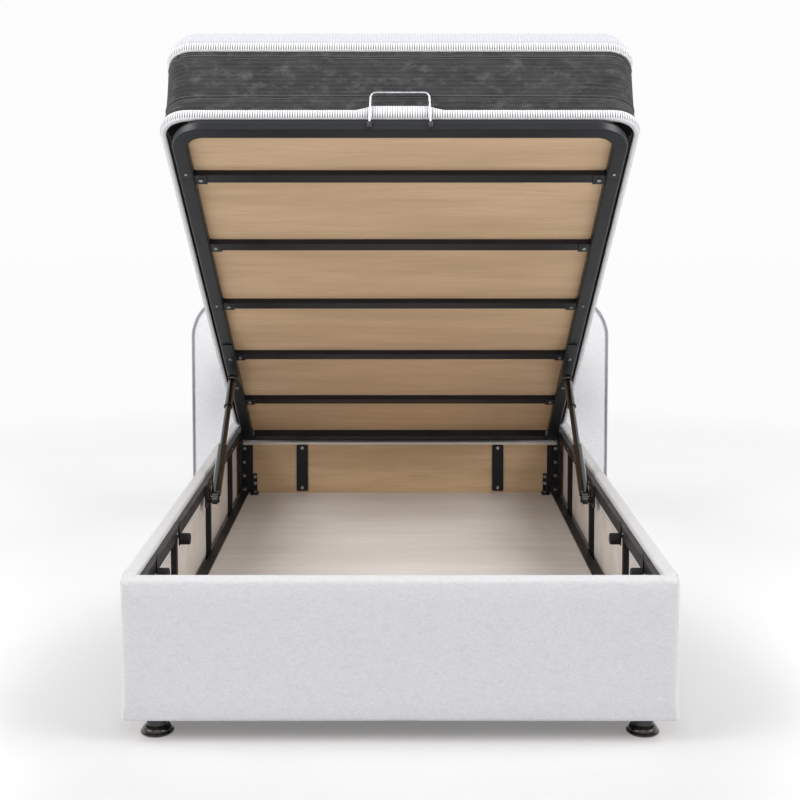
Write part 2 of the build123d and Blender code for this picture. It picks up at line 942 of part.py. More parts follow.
def eye(distance, neck, bore):
    # The flat eye at one end of a strut, its neck running `neck` up the strut.
    with BuildSketch(strut_along(distance)) as flat:
        Circle(eye_radius)
        with Locations((neck / 2, 0)):
            Rectangle(abs(neck), eye_neck)
        if bore:
            Circle(stud_radius + pin_clearance, mode=Mode.SUBTRACT)
    return flat.sketch


def strut_cylinder(sign):
    # The barrel, closed below, and its lower eye.
    with BuildPart() as piece:
        with BuildSketch(strut_across(eye_reach)):
            Circle(cylinder_radius)
        extrude(amount=cylinder_length)
        fillet(piece.edges().filter_by(GeomType.CIRCLE), cylinder_floor / 2)
        with BuildSketch(strut_across(eye_reach + cylinder_floor)):
            Circle(rod_radius + rod_clearance)
        extrude(amount=cylinder_length, mode=Mode.SUBTRACT)
        extrude(eye(0, eye_reach + cylinder_floor / 2, True), amount=eye_thickness / 2, both=True)
    keep(mirrored(piece, sign), f"{side_name(sign)}_strut_cylinder")


def strut_rod(sign):
    with BuildPart() as piece:
        with BuildSketch(strut_across(rod_tail)):
            Circle(rod_radius)
        extrude(amount=strut_open - eye_reach - sleeve_cap - rod_tail)
    keep(mirrored(piece, sign), f"{side_name(sign)}_strut_rod")


def strut_sleeve(sign):
    # The shroud over the rod, with its collar, its eye and the stud that meets the lid's arm.
    start = strut_open - eye_reach - sleeve_length
    with BuildPart() as piece:
        with BuildSketch(strut_across(start)):
            Circle(sleeve_radius)
        extrude(amount=sleeve_length)
        fillet(piece.edges().filter_by(GeomType.CIRCLE).sort_by(Axis.Z)[-1], cylinder_floor / 2)
        with BuildSketch(strut_across(start)):
            Circle(sleeve_collar_radius)
        extrude(amount=sleeve_collar_length)
        with BuildSketch(strut_across(start)):
            Circle(rod_radius)
        extrude(amount=sleeve_length - sleeve_cap, mode=Mode.SUBTRACT)
        neck = eye_reach + sleeve_cap / 2
        extrude(eye(strut_open, -neck, False), amount=eye_thickness / 2, both=True)
        with BuildSketch(strut_along(strut_open)):
            Circle(stud_radius)
        extrude(amount=lid_inner + open_pivot_gap - strut_x)
        with BuildSketch(strut_along(strut_open).offset(eye_thickness / 2)):
            RegularPolygon(stud_head_radius, 6)
        extrude(amount=stud_head)
    keep(mirrored(piece, sign), f"{side_name(sign)}_strut_sleeve")


# Mattress


def mattress_outline(level, inset, corner):
    # The mattress seen from above at one level: a rectangle with rounded corners.
    head = -mattress_tail
    foot = lid_reach - mattress_foot_gap
    with BuildSketch(lid_level(level)) as outline:
        with Locations((0, -(head + foot) / 2)):
            RectangleRounded(mattress_width - 2 * inset, foot - head - 2 * inset, corner)
    return outline.sketch


def mattress_body():
    # Straight where the tapes lie, drawn in between them.
    edge = mattress_corner - tape_thickness
    waist = tape_thickness + border_waist
    with BuildPart() as piece:
        extrude(mattress_outline(bed_base, tape_thickness, edge), amount=tape_height)
        low = mattress_outline(waist_low, tape_thickness, edge)
        middle = mattress_outline((waist_low + waist_high) / 2, waist, mattress_corner - waist)
        high = mattress_outline(waist_high, tape_thickness, edge)
        loft([low, middle, high])
        extrude(mattress_outline(waist_high, tape_thickness, edge), amount=tape_height)
    keep(piece, "mattress_body")


def mattress_crown():
    # The quilted top: steep at the edge, then rounding over to a shallow dome.
    edge = mattress_corner - tape_thickness
    sections = []
    for angle in crown_angles:
        share = 1 - cos(radians(angle))
        level = tape_top + crown_shoulder * sin(radians(angle))
        corner = edge - (edge - mattress_top_corner) * share
        sections.append(mattress_outline(level, tape_thickness + crown_round * share, corner))
    with BuildPart() as piece:
        loft(sections)
        top = mattress_outline(mattress_top, crown_flat_inset, mattress_top_corner)
        loft([sections[-1], top])
    keep(piece, "mattress_crown")


def mattress_tapes():
    # The two ribbed tapes round the border's lower and upper edges.
    edge = mattress_corner - tape_thickness
    with BuildPart() as piece:
        for level in (bed_base, waist_high):
            extrude(mattress_outline(level, 0, mattress_corner), amount=tape_height)
            inside = mattress_outline(level, tape_thickness, edge)
            extrude(inside, amount=tape_height, mode=Mode.SUBTRACT)
    keep(piece, "mattress_tapes")


# Retainer wire


def retainer_wire():
    # A bent wire loop that keeps the mattress from sliding off and serves as the handle.
    with BuildPart() as piece:
        with BuildLine(lid_along(0, lid_reach + collar_radius)) as path:
            FilletPolyline(
                (-wire_half_width, wire_low),
                (-wire_half_top, wire_high),
                (wire_half_top, wire_high),
                (wire_half_width, wire_low),
                radius=wire_bend,
            )
        wire = path.wires()[0]
        with BuildSketch(Plane(origin=wire @ 0, z_dir=wire % 0)):
            Circle(wire_radius)
        sweep(path=wire)
    keep(piece, "retainer_wire")


def retainer_collars():
    # Black saddles that hold the wire's legs against the foot tube.
    with BuildPart() as piece:
        for sign in side_signs:
            with BuildSketch(lid_level(collar_low)):
                with Locations((sign * wire_half_width, -lid_reach - collar_radius)):
                    Circle(collar_radius)
                with Locations((sign * wire_half_width, -lid_reach - collar_radius / 2)):
                    Rectangle(2 * collar_radius, collar_radius)
            extrude(amount=collar_high - collar_low)
            with BuildSketch(lid_level(wire_low)):
                with Locations((sign * wire_half_width, -lid_reach - collar_radius)):
                    Circle(wire_radius + wire_play)
            extrude(amount=collar_high - wire_low, mode=Mode.SUBTRACT)
    keep(piece, "retainer_collars")


def both_sides():
    for sign in side_signs:
        side_board(sign)
        side_cover(sign)
        top_rail(sign)
        bottom_rail(sign)
        post(sign)
        lid_side_tube(sign)
        strut_cylinder(sign)
        strut_rod(sign)
        strut_sleeve(sign)


def main():
    front_board()
    front_cover()
    side_linings()
    front_lining()
    headboard_board()
    headboard_cover()
    headboard_piping()
    seam_y = front_y + batten_places[2]
    floor_board("front_floor", lining_y, seam_y)
    floor_board("rear_floor", seam_y + floor_seam, back_face_y)
    floor_battens()
    back_panel()
    head_ledge()
    back_straps()
    front_rail()
    uprights()
    hinge_pins()
    bumper_brackets()
    rubber_bumpers()
    strut_brackets()
    floor_brackets()
    headboard_brackets()
    base_bolts()
    feet()
    foot_blocks()
    both_sides()
    lid_foot_bow()
    tube_connectors()
    head_bar()
    for number, reach in enumerate(bars, start=1):
        cross_bar(number, reach)
    bar_seats()
    lid_panel()
    strut_arms()
    lid_bolts()
    mattress_body()
    mattress_crown()
    mattress_tapes()
    retainer_wire()
    retainer_collars()


main()
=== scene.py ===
"""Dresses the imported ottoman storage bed: covers, headboard, mattress, finishes, studio and camera."""

import json
import logging
import math
from collections.abc import Callable, Iterable, Sequence
from dataclasses import dataclass
from enum import Enum

import bmesh
import bpy
from mathutils import Matrix, Vector, noise


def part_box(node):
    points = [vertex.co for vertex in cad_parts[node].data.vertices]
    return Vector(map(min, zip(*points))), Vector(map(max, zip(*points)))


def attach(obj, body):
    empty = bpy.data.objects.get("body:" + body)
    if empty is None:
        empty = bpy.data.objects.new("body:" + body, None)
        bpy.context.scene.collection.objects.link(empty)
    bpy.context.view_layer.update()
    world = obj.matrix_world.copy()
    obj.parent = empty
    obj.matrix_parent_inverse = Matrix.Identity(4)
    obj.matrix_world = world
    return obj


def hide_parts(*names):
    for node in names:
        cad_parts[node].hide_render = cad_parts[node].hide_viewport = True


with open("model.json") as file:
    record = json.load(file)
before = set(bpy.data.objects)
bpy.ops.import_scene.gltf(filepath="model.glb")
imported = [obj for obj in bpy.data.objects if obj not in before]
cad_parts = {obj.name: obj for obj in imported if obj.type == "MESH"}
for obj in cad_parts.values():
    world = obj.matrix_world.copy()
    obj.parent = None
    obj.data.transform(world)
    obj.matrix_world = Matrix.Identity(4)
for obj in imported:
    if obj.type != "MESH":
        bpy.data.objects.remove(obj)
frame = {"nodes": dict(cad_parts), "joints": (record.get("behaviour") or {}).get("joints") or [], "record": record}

Tree = bpy.types.NodeTree
Socket = bpy.types.NodeSocket
Piece = bpy.types.Object
Form = bmesh.types.BMesh
Vert = bmesh.types.BMVert
Edge = bmesh.types.BMEdge
Face = bmesh.types.BMFace

LOG = logging.getLogger("ottoman_bed")
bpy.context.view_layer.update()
MM = 0.001
WHITE = (1, 1, 1, 1)


# Nodes and colours


def linear(code: str) -> tuple[float, float, float, float]:
    """Turns an sRGB colour, written "#RRGGBB", into linear red, green and blue and an opacity of 1."""
    parts = [int(code[i : i + 2], 16) / 255 for i in (1, 3, 5)]
    curve = [p / 12.92 if p <= 0.04045 else ((p + 0.055) / 1.055) ** 2.4 for p in parts]
    return (curve[0], curve[1], curve[2], 1.0)


def add(
    tree: Tree, kind: str, values: dict | None = None, links: dict | None = None, **settings: object
) -> bpy.types.Node:
    """Adds a node with its settings, its fixed input values and its links.

    Args:
        tree: The node tree that gets the node.
        kind: The node's type name.
        values: Input values by input name or number.
        links: Sockets that feed the inputs, by input name or number.
        settings: The node's own properties.

    Returns:
        The new node.
    """
    made = tree.nodes.new(kind)
    for key, value in settings.items():
        setattr(made, key, value)
    for key, value in (values or {}).items():
        made.inputs[key].default_value = value
    for key, socket in (links or {}).items():
        tree.links.new(socket, made.inputs[key])
    return made


@dataclass(frozen=True)
class Canvas:
    """A material while it is drawn: its node tree, its shader and the point's place on the object."""

    tree: Tree
    shader: bpy.types.Node
    place: Socket

    @classmethod
    def start(cls, made: bpy.types.Material) -> "Canvas":
        """Starts drawing a new material."""
        made.use_nodes = True
        tree = made.node_tree
        return cls(tree, tree.nodes["Principled BSDF"], add(tree, "ShaderNodeTexCoord").outputs["Object"])

    def set(self, inputs: dict[str, object]) -> None:
        """Sets the shader's inputs: a socket is linked, and a plain value is written on the input itself."""
        for name, value in inputs.items():
            if isinstance(value, Socket):
                self.tree.links.new(value, self.shader.inputs[name])
            else:
                self.shader.inputs[name].default_value = value

    def cloud(
        self,
        size: float,
        stretch: Sequence[float] = (1, 1, 1),
        turn: Sequence[float] = (0, 0, 0),
        detail: float = 3.0,
    ) -> Socket:
        """Adds an uneven pattern of a real size.

        Args:
            size: The size of its patches in metres.
            stretch: How many times finer it is along each axis.
            turn: How it is turned, in radians.
            detail: How many finer layers it has.

        Returns:
            The pattern's strength, from 0 to 1.
        """
        lie = {"Rotation": turn, "Scale": stretch}
        laid = add(self.tree, "ShaderNodeMapping", lie, {"Vector": self.place})
        sizes = {"Scale": 1 / size, "Detail": detail, "Roughness": 0.6}
        return add(self.tree, "ShaderNodeTexNoise", sizes, {"Vector": laid.outputs[0]}).outputs[0]

    def ribs(self, place: Socket, pitch: float, direction: str = "X") -> Socket:
        """Adds even ribs, a pitch in metres apart, that follow each other on an axis, from 0 to 1."""
        sizes = {"Scale": 2 * math.pi / (20 * pitch)}
        wave = add(self.tree, "ShaderNodeTexWave", sizes, {"Vector": place}, bands_direction=direction)
        return wave.outputs["Fac"]

    def fade(
        self, share: Socket, low: str | Socket, high: str | Socket, start: float = 0.35, end: float = 0.65
    ) -> Socket:
        """Fades from one colour to another as a pattern gets stronger.

        Args:
            share: The pattern's strength.
            low: The colour, or its socket, below start.
            high: The colour, or its socket, above end.
            start: The strength at which the fade starts.
            end: The strength at which it ends.

        Returns:
            The colour.
        """
        eased = add(self.tree, "ShaderNodeMapRange", {"From Min": start, "From Max": end}, {"Value": share})
        values = {key: linear(c) for key, c in ((6, low), (7, high)) if isinstance(c, str)}
        links = {key: c for key, c in ((6, low), (7, high)) if not isinstance(c, str)}
        links[0] = eased.outputs[0]
        return add(self.tree, "ShaderNodeMix", values, links, data_type="RGBA").outputs[2]

    def relief(self, height: Socket, depth: float, under: Socket | None = None) -> Socket:
        """Lets a pattern raise the surface by up to a depth in metres, over the relief under it, if any."""
        links = {"Height": height}
        if under:
            links["Normal"] = under
        bump = add(self.tree, "ShaderNodeBump", {"Strength": 0.6, "Distance": depth}, links).outputs[0]
        self.set({"Normal": bump})
        return bump


# Finishes


@dataclass(frozen=True)
class Finish:
    """A surface finish: what it is made of, its colours and how it takes the light."""

    name: str
    tone: str
    shade: str
    roughness: float

    def material(self) -> bpy.types.Material:
        """Returns the finish's material, made on the first call."""
        made = bpy.data.materials.get(self.name)
        if not made:
            made = bpy.data.materials.new(self.name)
            on = Canvas.start(made)
            on.set({"Roughness": self.roughness})
            self.draw(on)
        return made

    def draw(self, on: Canvas) -> None:
        """Adds the finish's own pattern to the material that is drawn."""
        raise NotImplementedError

    def dress(self, piece: Piece) -> None:
        """Gives all of a piece this finish."""
        if not piece.material_slots:
            piece.data.materials.append(None)
        for slot in piece.material_slots:
            slot.link = "OBJECT"
            slot.material = self.material()


@dataclass(frozen=True)
class Plush(Finish):
    """Brushed short-pile upholstery: fibres lie a little aslant, so it is speckled and pale at its edges."""

    fibre: float = 7 * MM
    sheen: float = 0.25

    def draw(self, on: Canvas) -> None:
        """Adds the pile's speckle, its slow change of shade and its soft edge."""
        pile = on.cloud(self.fibre, (1, 3, 3), (0.3, 0.6, 0.4), 2.0)
        tuft = on.cloud(self.fibre * 3.2, (1, 1.8, 1.8), (0.3, -0.5, 0.4))
        speckled = on.fade(pile, self.shade, self.tone, 0.3, 0.62)
        on.relief(pile, 0.8 * MM, on.relief(tuft, 1.2 * MM))
        on.set({
            "Base Color": on.fade(tuft, self.shade, speckled, 0.2, 0.5),
            "Sheen Weight": self.sheen, "Sheen Roughness": 0.4, "Specular IOR Level": 0.2,
        })


@dataclass(frozen=True)
class Suede(Finish):
    """Brushed microfibre suede: the nap lies in every direction, so it is cloudy and has pale rub marks."""

    mark: str = "#5B5B5C"

    def draw(self, on: Canvas) -> None:
        """Adds the nap's clouds, its rub marks and creases."""
        clouds = on.cloud(75 * MM, (1, 1, 1.4), (0, 0.5, 0), 4.0)
        rubs = on.cloud(35 * MM, (1, 1.4, 1.4), (0.2, 0.6, 0.2), 6.0)
        strokes = on.cloud(50 * MM, (1, 2.2, 2.2), (0.3, -0.7, 0.4), 6.0)
        nap = on.cloud(7 * MM)
        base = on.fade(clouds, self.shade, self.tone, 0.38, 0.62)
        rubbed = on.fade(rubs, base, self.mark, 0.52, 0.8)
        stroked = on.fade(strokes, rubbed, self.mark, 0.56, 0.82)
        on.relief(nap, 0.5 * MM, on.relief(rubs, 1.6 * MM))
        on.set({
            "Base Color": on.fade(nap, self.shade, stroked, 0.15, 0.5),
            "Sheen Weight": 0.08, "Sheen Roughness": 0.45, "Specular IOR Level": 0.2,
        })


@dataclass(frozen=True)
class Knit(Finish):
    """Double-jersey mattress knit: fine ribs along the bed, broken up by small cells, on cool white."""

    pitch: float = 7.6 * MM
    tilt: float = 0.0

    def draw(self, on: Canvas) -> None:
        """Adds the knit's cells, laid out along the mattress."""
        lie = {"Rotation": (self.tilt, 0, 0)}
        laid = add(on.tree, "ShaderNodeMapping", lie, {"Vector": on.place}).outputs[0]
        across = on.ribs(laid, self.pitch)
        along = on.ribs(laid, self.pitch * 1.6, "Y")
        cells = add(on.tree, "ShaderNodeMath", {1: 0.35}, {0: along}, operation="MULTIPLY").outputs[0]
        both = add(on.tree, "ShaderNodeMath", links={0: across, 1: cells}, operation="ADD").outputs[0]
        on.relief(both, 0.9 * MM)
        colour = on.fade(both, self.shade, self.tone, 0.0, 0.6)
        on.set({"Base Color": colour, "Sheen Weight": 0.05, "Specular IOR Level": 0.2})


@dataclass(frozen=True)
class RibbedTape(Finish):
    """Woven binding tape: white cords side by side, with painted shade between the cords that is darkest just
    above its plain lower edge.
    """

    pitch: float = 6.2 * MM
    # The colour of the painted shade between the cords, low on the tape.
    gap: str = "#5C5C60"

    def draw(self, on: Canvas) -> None:
        """Adds the cords from the tape's own map, which runs in metres along it and up it."""
        run = add(on.tree, "ShaderNodeUVMap", uv_map="along_tape").outputs[0]
        cords = on.ribs(run, self.pitch)
        up = add(on.tree, "ShaderNodeSeparateXYZ", links={0: run}).outputs[1]
        # Painted shade: the hollows between the cords darken towards the lower edge, above its plain pale rim.
        low = on.fade(up, self.gap, self.shade, 8 * MM, 20 * MM)
        gap_shade = on.fade(up, self.tone, low, 2 * MM, 4 * MM)
        on.relief(cords, 1.2 * MM)
        colour = on.fade(cords, gap_shade, self.tone, 0.15, 0.65)
        on.set({"Base Color": colour, "Sheen Weight": 0.1, "Specular IOR Level": 0.25})


@dataclass(frozen=True)
class FacedBoard(Finish):
    """Plywood or faced board: long fine grain across the bed, and a slow change of shade in strips."""

    grain: float = 5 * MM
    figure: float = 0.5

    def draw(self, on: Canvas) -> None:
        """Adds the grain's lines and the wider figure."""
        lines = on.cloud(self.grain, (0.035, 1, 1), detail=4.0)
        on.relief(lines, 0.25 * MM)
        on.set({"Base Color": self.face(on, lines), "Specular IOR Level": 0.35})

    def face(self, on: Canvas, lines: Socket) -> Socket:
        """Colours the board's face: strips of one shade, with the grain's lines and pores over them.

        Args:
            on: The material that is drawn.
            lines: The grain's lines.

        Returns:
            The colour.
        """
        strips = on.cloud(self.grain * 14, (0.12, 1, 1))
        pores = on.cloud(self.grain * 0.5, (0.09, 1, 1), detail=2.0)
        base = on.fade(strips, self.shade, self.tone, 0.5 - self.figure / 2, 0.5 + self.figure / 4)
        lined = on.fade(lines, self.shade, base, 0.2, 0.52)
        return on.fade(pores, self.shade, lined, 0.18, 0.42)


@dataclass(frozen=True)
class EdgedBoard(FacedBoard):
    """Plywood whose long edges, round corners and foot edge are coloured black, so that no pale rim shows between
    the mattress and the tubes.
    """

    rim: str = "#101011"
    half: float = 564.5 * MM
    reach: float = 1849.5 * MM
    corner: float = 77.5 * MM

    def face(self, on: Canvas, lines: Socket) -> Socket:
        """Colours the face as plywood and the long edges, the round corners and the foot edge black."""
        tilt = math.radians(LID_TILT)
        out = add(on.tree, "ShaderNodeMapping", {"Rotation": (tilt, 0, 0)}, {"Vector": on.place}).outputs[0]
        pivot = Matrix.Rotation(tilt, 3, "X") @ PIVOT
        steps = (
            ("SUBTRACT", (0, pivot.y, 0)), ("ABSOLUTE", (0, 0, 0)), ("MULTIPLY", (1, 1, 0)),
            ("SUBTRACT", (self.half - self.corner, self.reach - self.corner, 0)), ("MAXIMUM", (0, 0, 0)),
        )
        for operation, value in steps:
            out = add(on.tree, "ShaderNodeVectorMath", {1: value}, {0: out}, operation=operation).outputs[0]
        far = add(on.tree, "ShaderNodeVectorMath", links={0: out}, operation="LENGTH").outputs["Value"]
        edge = add(on.tree, "ShaderNodeMath", {1: self.corner}, {0: far}, operation="GREATER_THAN").outputs[0]
        return on.fade(edge, super().face(on, lines), self.rim, 0.2, 0.8)


@dataclass(frozen=True)
class Coated(Finish):
    """Powder coat, lacquer, moulded plastic or rubber: a skin with a fine texture and an uneven gloss."""

    texture: float = 1.5 * MM
    depth: float = 0.12 * MM
    coat: float = 0.0
    level: float = 0.5

    def draw(self, on: Canvas) -> None:
        """Adds the skin's fine texture and the slow change of its gloss."""
        rubbed = on.cloud(90 * MM, detail=4.0)
        on.relief(on.cloud(self.texture, detail=2.0), self.depth)
        span = {"From Min": 0.3, "From Max": 0.7, "To Min": self.roughness * 0.85, "To Max": self.roughness * 1.15}
        uneven = add(on.tree, "ShaderNodeMapRange", span, {"Value": rubbed}).outputs[0]
        on.set({
            "Base Color": on.fade(rubbed, self.shade, self.tone), "Roughness": uneven,
            "Coat Weight": self.coat, "Coat Roughness": 0.06, "Specular IOR Level": self.level,
        })


@dataclass(frozen=True)
class BareMetal(Finish):
    """Plated or bare metal: bright, with fine scratches that blur the gloss here and there."""

    scratch: float = 2.5 * MM

    def draw(self, on: Canvas) -> None:
        """Adds the plating's cloudy gloss and its scratches."""
        scratches = on.cloud(self.scratch, (0.2, 1, 1), (0.4, 0.3, 0.8))
        on.relief(scratches, 0.03 * MM)
        span = {"From Min": 0.3, "From Max": 0.7, "To Min": self.roughness * 0.7, "To Max": self.roughness * 1.4}
        uneven = add(on.tree, "ShaderNodeMapRange", span, {"Value": scratches}).outputs[0]
        colour = on.fade(on.cloud(12 * MM), self.shade, self.tone)
        on.set({"Base Color": colour, "Roughness": uneven, "Metallic": 1.0})


LID_HINGE = next(j for j in frame["joints"] if j["name"] == "lid_hinge")
LID_TILT = -LID_HINGE["range_deg"][0]
LID_LEVEL = 12.5 * MM
PIVOT = Vector(LID_HINGE["pos_m"])

# Each finish is named for the real material, and for any light or shade painted into it; the class says what that
# gives the eye.
FINISHES: dict[str, Finish] = {
    "plush_cover": Plush("brushed_plush_pale_grey", "#D8D8DA", "#CCCCCE", 0.92, 6 * MM, 0.35),
    # Painted light: the same plush as the covers, written lighter to make up for the lesser light that reaches the
    # headboard.
    "headboard_fabric": Plush("brushed_plush_headboard", "#F2F2F4", "#E6E6E9", 0.92, 6 * MM, 0.3),
    # Painted shade: the cord is the headboard's plush, written darker for the shadowed seam beside it.
    "piping": Plush("corded_piping_grey", "#B2B2B6", "#98989C", 0.85, 2 * MM, 0.2),
    "border_suede": Suede("microfibre_suede_charcoal", "#3B3B3B", "#2D2D2D", 0.88),
    "quilted_knit": Knit("double_jersey_knit_white", "#D6D7DD", "#C7C8CF", 0.9, tilt=math.radians(LID_TILT)),
    "ribbed_tape": RibbedTape("woven_ribbed_tape", "#F4F4F6", "#C2C2C6", 0.8),
    "lining_board": FacedBoard("faced_lining_board", "#DDD6D0", "#D0C8BF", 0.6, 6 * MM, 0.3),
    "floor_board": FacedBoard("faced_floor_board_taupe", "#D7D3D0", "#C8C1BC", 0.5, 7 * MM, 0.5),
    "lid_board": EdgedBoard("poplar_plywood_black_edged", "#E3C39E", "#CCAD89", 0.6, 4.5 * MM, 0.5),
    "back_board": FacedBoard("poplar_plywood_back", "#D3B590", "#BB9C78", 0.6, 4.5 * MM, 0.5),
    "inner_board": FacedBoard("chipboard_core", "#C0A27C", "#A98A64", 0.75, 3 * MM, 0.3),
    "foot_timber": FacedBoard("pine_block", "#CDAE80", "#B59265", 0.7, 6 * MM, 0.5),
    "frame_steel": Coated("black_powder_coat_matt", "#131315", "#0E0E10", 0.5, 1.2 * MM, 0.1 * MM, 0.0, 0.3),
    # Painted reflection: the blue tint stands for a cool sky reflected in the tubes; the coat itself is black.
    "black_steel": Coated(
        "black_powder_coat_satin", "#171A20", "#111318", 0.38, 1.2 * MM, 0.06 * MM, 0.0, 0.35
    ),
    "strut_paint": Coated("black_strut_lacquer", "#0E0E10", "#09090A", 0.14, 3 * MM, 0.02 * MM, 0.8),
    "foot_plastic": Coated("black_moulded_foot", "#141415", "#0D0D0E", 0.16, 3 * MM, 0.03 * MM, 0.5),
    "black_plastic": Coated("black_moulded_nylon", "#18181A", "#121214", 0.45, 1 * MM, 0.05 * MM),
    "bumper_rubber": Coated("black_bumper_rubber", "#1E1E1F", "#171718", 0.75, 1.4 * MM, 0.15 * MM, 0.0, 0.3),
    "bolt_steel": BareMetal("zinc_plated_steel", "#C9C9C6", "#9C9C99", 0.32),
    "chrome_wire": BareMetal("polished_chrome", "#CDCFD3", "#AEB0B5", 0.12),
}
UNDERSIDE = Coated("black_spunbond_underside", "#0F0F10", "#0A0A0B", 0.95, 3 * MM, 0.2 * MM, 0.0, 0.1)
THREAD = Plush("polyester_thread_grey", "#77777A", "#5B5B5E", 0.7, 2 * MM, 0.1)


# Shared mesh work

SAME_POINT = 1e-5
MOST_SIDES = 8
FILL_FRAMES = 20

# The cloth's settings as foam fills it: thin, taut and pushed outwards by an even pressure.
FOAM = {
    "quality": 5, "mass": 0.3, "vertex_group_mass": "held", "use_pressure": True, "uniform_pressure_force": 4.0,
    "tension_stiffness": 15, "compression_stiffness": 15, "shear_stiffness": 5, "bending_stiffness": 0.5,
}


class Across(Enum):
    """An axis of the bed."""

    WIDTH = 0
    LENGTH = 1
    HEIGHT = 2


def smooth(value: float) -> float:
    """Eases a share from 0 to 1, flat at both ends."""
    share = min(1.0, max(0.0, value))
    return share * share * (3 - 2 * share)


def cuboid(form: Form, low: Vector, high: Vector) -> list[Vert]:
    """Adds a box between two corners and returns its vertices."""
    size = Matrix.Diagonal((*(high - low), 1))
    return bmesh.ops.create_cube(form, size=1, matrix=Matrix.Translation((low + high) / 2) @ size)["verts"]


def level_edges(form: Form, axis: Across, level: float) -> list[Edge]:
    """Lists the edges that lie at one level on an axis."""
    return [edge for edge in form.edges if all(abs(v.co[axis.value] - level) < MM for v in edge.verts)]


def along(edges: Iterable[Edge], axis: Across) -> list[Edge]:
    """Lists those edges that run along an axis for more than a centimetre."""
    ends = [(edge, [v.co[axis.value] for v in edge.verts]) for edge in edges]
    return [edge for edge, (first, last) in ends if abs(first - last) > 10 * MM]


def cut_across(form: Form, axis: Across, start: float, stop: float, step: float) -> None:
    """Cuts a form at even places, so that it has points to bend at.

    Args:
        form: The form to cut.
        axis: The axis that the cuts follow.
        start: Where the form starts on that axis.
        stop: Where it ends.
        step: About how far apart the cuts are.
    """
    count = max(1, round((stop - start) / step))
    way = Vector([float(i == axis.value) for i in range(3)])
    for index in range(1, count):
        place = way * (start + (stop - start) * index / count)
        parts = form.verts[:] + form.edges[:] + form.faces[:]
        bmesh.ops.bisect_plane(form, geom=parts, dist=SAME_POINT, plane_co=place, plane_no=way)


def round_off(
    form: Form, parts: Sequence[Edge | Vert], radius: float, segments: int = 4, affect: str = "EDGES"
) -> None:
    """Rounds edges or flat corners of a form to a radius with a few segments."""
    bmesh.ops.bevel(
        form, geom=parts, offset=radius, segments=segments, profile=0.5, affect=affect, material=-1
    )


def close_bottom(form: Form) -> None:
    """Fills the ring between a cover's outer rim and its pocket's rim."""
    rims = [edge for edge in form.edges if edge.is_boundary]
    bmesh.ops.triangle_fill(form, edges=rims, use_beauty=True, use_dissolve=False, normal=(0, 0, -1))


def drop_bottom(form: Form, verts: Sequence[Vert]) -> None:
    """Opens a box at its lowest face."""
    faces = {face for vert in verts for face in vert.link_faces}
    lowest = min(faces, key=lambda face: face.calc_center_median().z)
    bmesh.ops.delete(form, geom=[lowest], context="FACES_ONLY")


def stretch_up(form: Form, face: Face, way: Vector) -> tuple[Face, list[Vert]]:
    """Extrudes one face of a form, moves it and returns it with its vertices."""
    parts = bmesh.ops.extrude_face_region(form, geom=[face])["geom"]
    verts = [part for part in parts if isinstance(part, Vert)]
    bmesh.ops.translate(form, vec=way, verts=verts)
    return next(part for part in parts if isinstance(part, Face)), verts


def place_mesh(data: bpy.types.Mesh, name: str) -> Piece:
    """Puts a mesh into the scene as an object at the origin, with smooth faces, and returns it."""
    for face in data.polygons:
        face.use_smooth = True
    piece = bpy.data.objects.new(name, data)
    bpy.context.scene.collection.objects.link(piece)
    return piece


def to_piece(form: Form, name: str) -> Piece:
    """Turns a form, which is used up, into an object at the origin, smooth and with its faces outwards."""
    bmesh.ops.remove_doubles(form, verts=form.verts, dist=SAME_POINT)
    many_sided = [face for face in form.faces if len(face.verts) > MOST_SIDES]
    bmesh.ops.triangulate(form, faces=many_sided, quad_method="BEAUTY", ngon_method="BEAUTY")
    bmesh.ops.recalc_face_normals(form, faces=form.faces)
    data = bpy.data.meshes.new(name)
    form.to_mesh(data)
    form.free()
    return place_mesh(data, name)


def settle(piece: Piece) -> None:
    """Makes a piece's modifiers part of its mesh."""
    seen = piece.evaluated_get(bpy.context.evaluated_depsgraph_get())
    done = bpy.data.meshes.new_from_object(seen)
    old = piece.data
    piece.modifiers.clear()
    piece.data = done
    bpy.data.meshes.remove(old)


def remesh(piece: Piece, size: float) -> None:
    """Gives a closed form an even net of squares of one size."""
    change = piece.modifiers.new("even_net", "REMESH")
    change.mode = "VOXEL"
    change.voxel_size = size
    change.use_smooth_shade = True
    settle(piece)


def subdivide(piece: Piece) -> None:
    """Halves a piece's net once, with the new points eased into its curve."""
    change = piece.modifiers.new("finer_net", "SUBSURF")
    change.levels = change.render_levels = 1
    settle(piece)


def fill_out(piece: Piece, free: Callable[[Vector], float], cap: float) -> None:
    """Fills a fabric form as its foam does, by a cloth simulation whose result is kept.

    Args:
        piece: The closed form.
        free: How freely a point moves, from 0 for held to 1.
        cap: The furthest that a point may move, in metres.
    """
    points = piece.data.vertices
    start = [point.co.copy() for point in points]
    share = [free(place) for place in start]
    held = piece.vertex_groups.new(name="held")
    for index, value in enumerate(share):
        held.add([index], 1 - value, "REPLACE")
    cloth = piece.modifiers.new("foam", "CLOTH").settings
    for key, value in FOAM.items():
        setattr(cloth, key, value)
    cloth.effector_weights.gravity = 0
    for step in range(1, FILL_FRAMES + 1):
        bpy.context.scene.frame_set(step)
    filled = piece.evaluated_get(bpy.context.evaluated_depsgraph_get()).data.vertices
    moves = [filled[i].co - start[i] for i in range(len(start))]
    piece.modifiers.clear()
    piece.vertex_groups.clear()
    for point, place, move, value in zip(points, start, moves, share):
        reach = move.length
        point.co = place + move * value * (min(reach, cap) / reach if reach else 0)
    bpy.context.scene.frame_set(1)


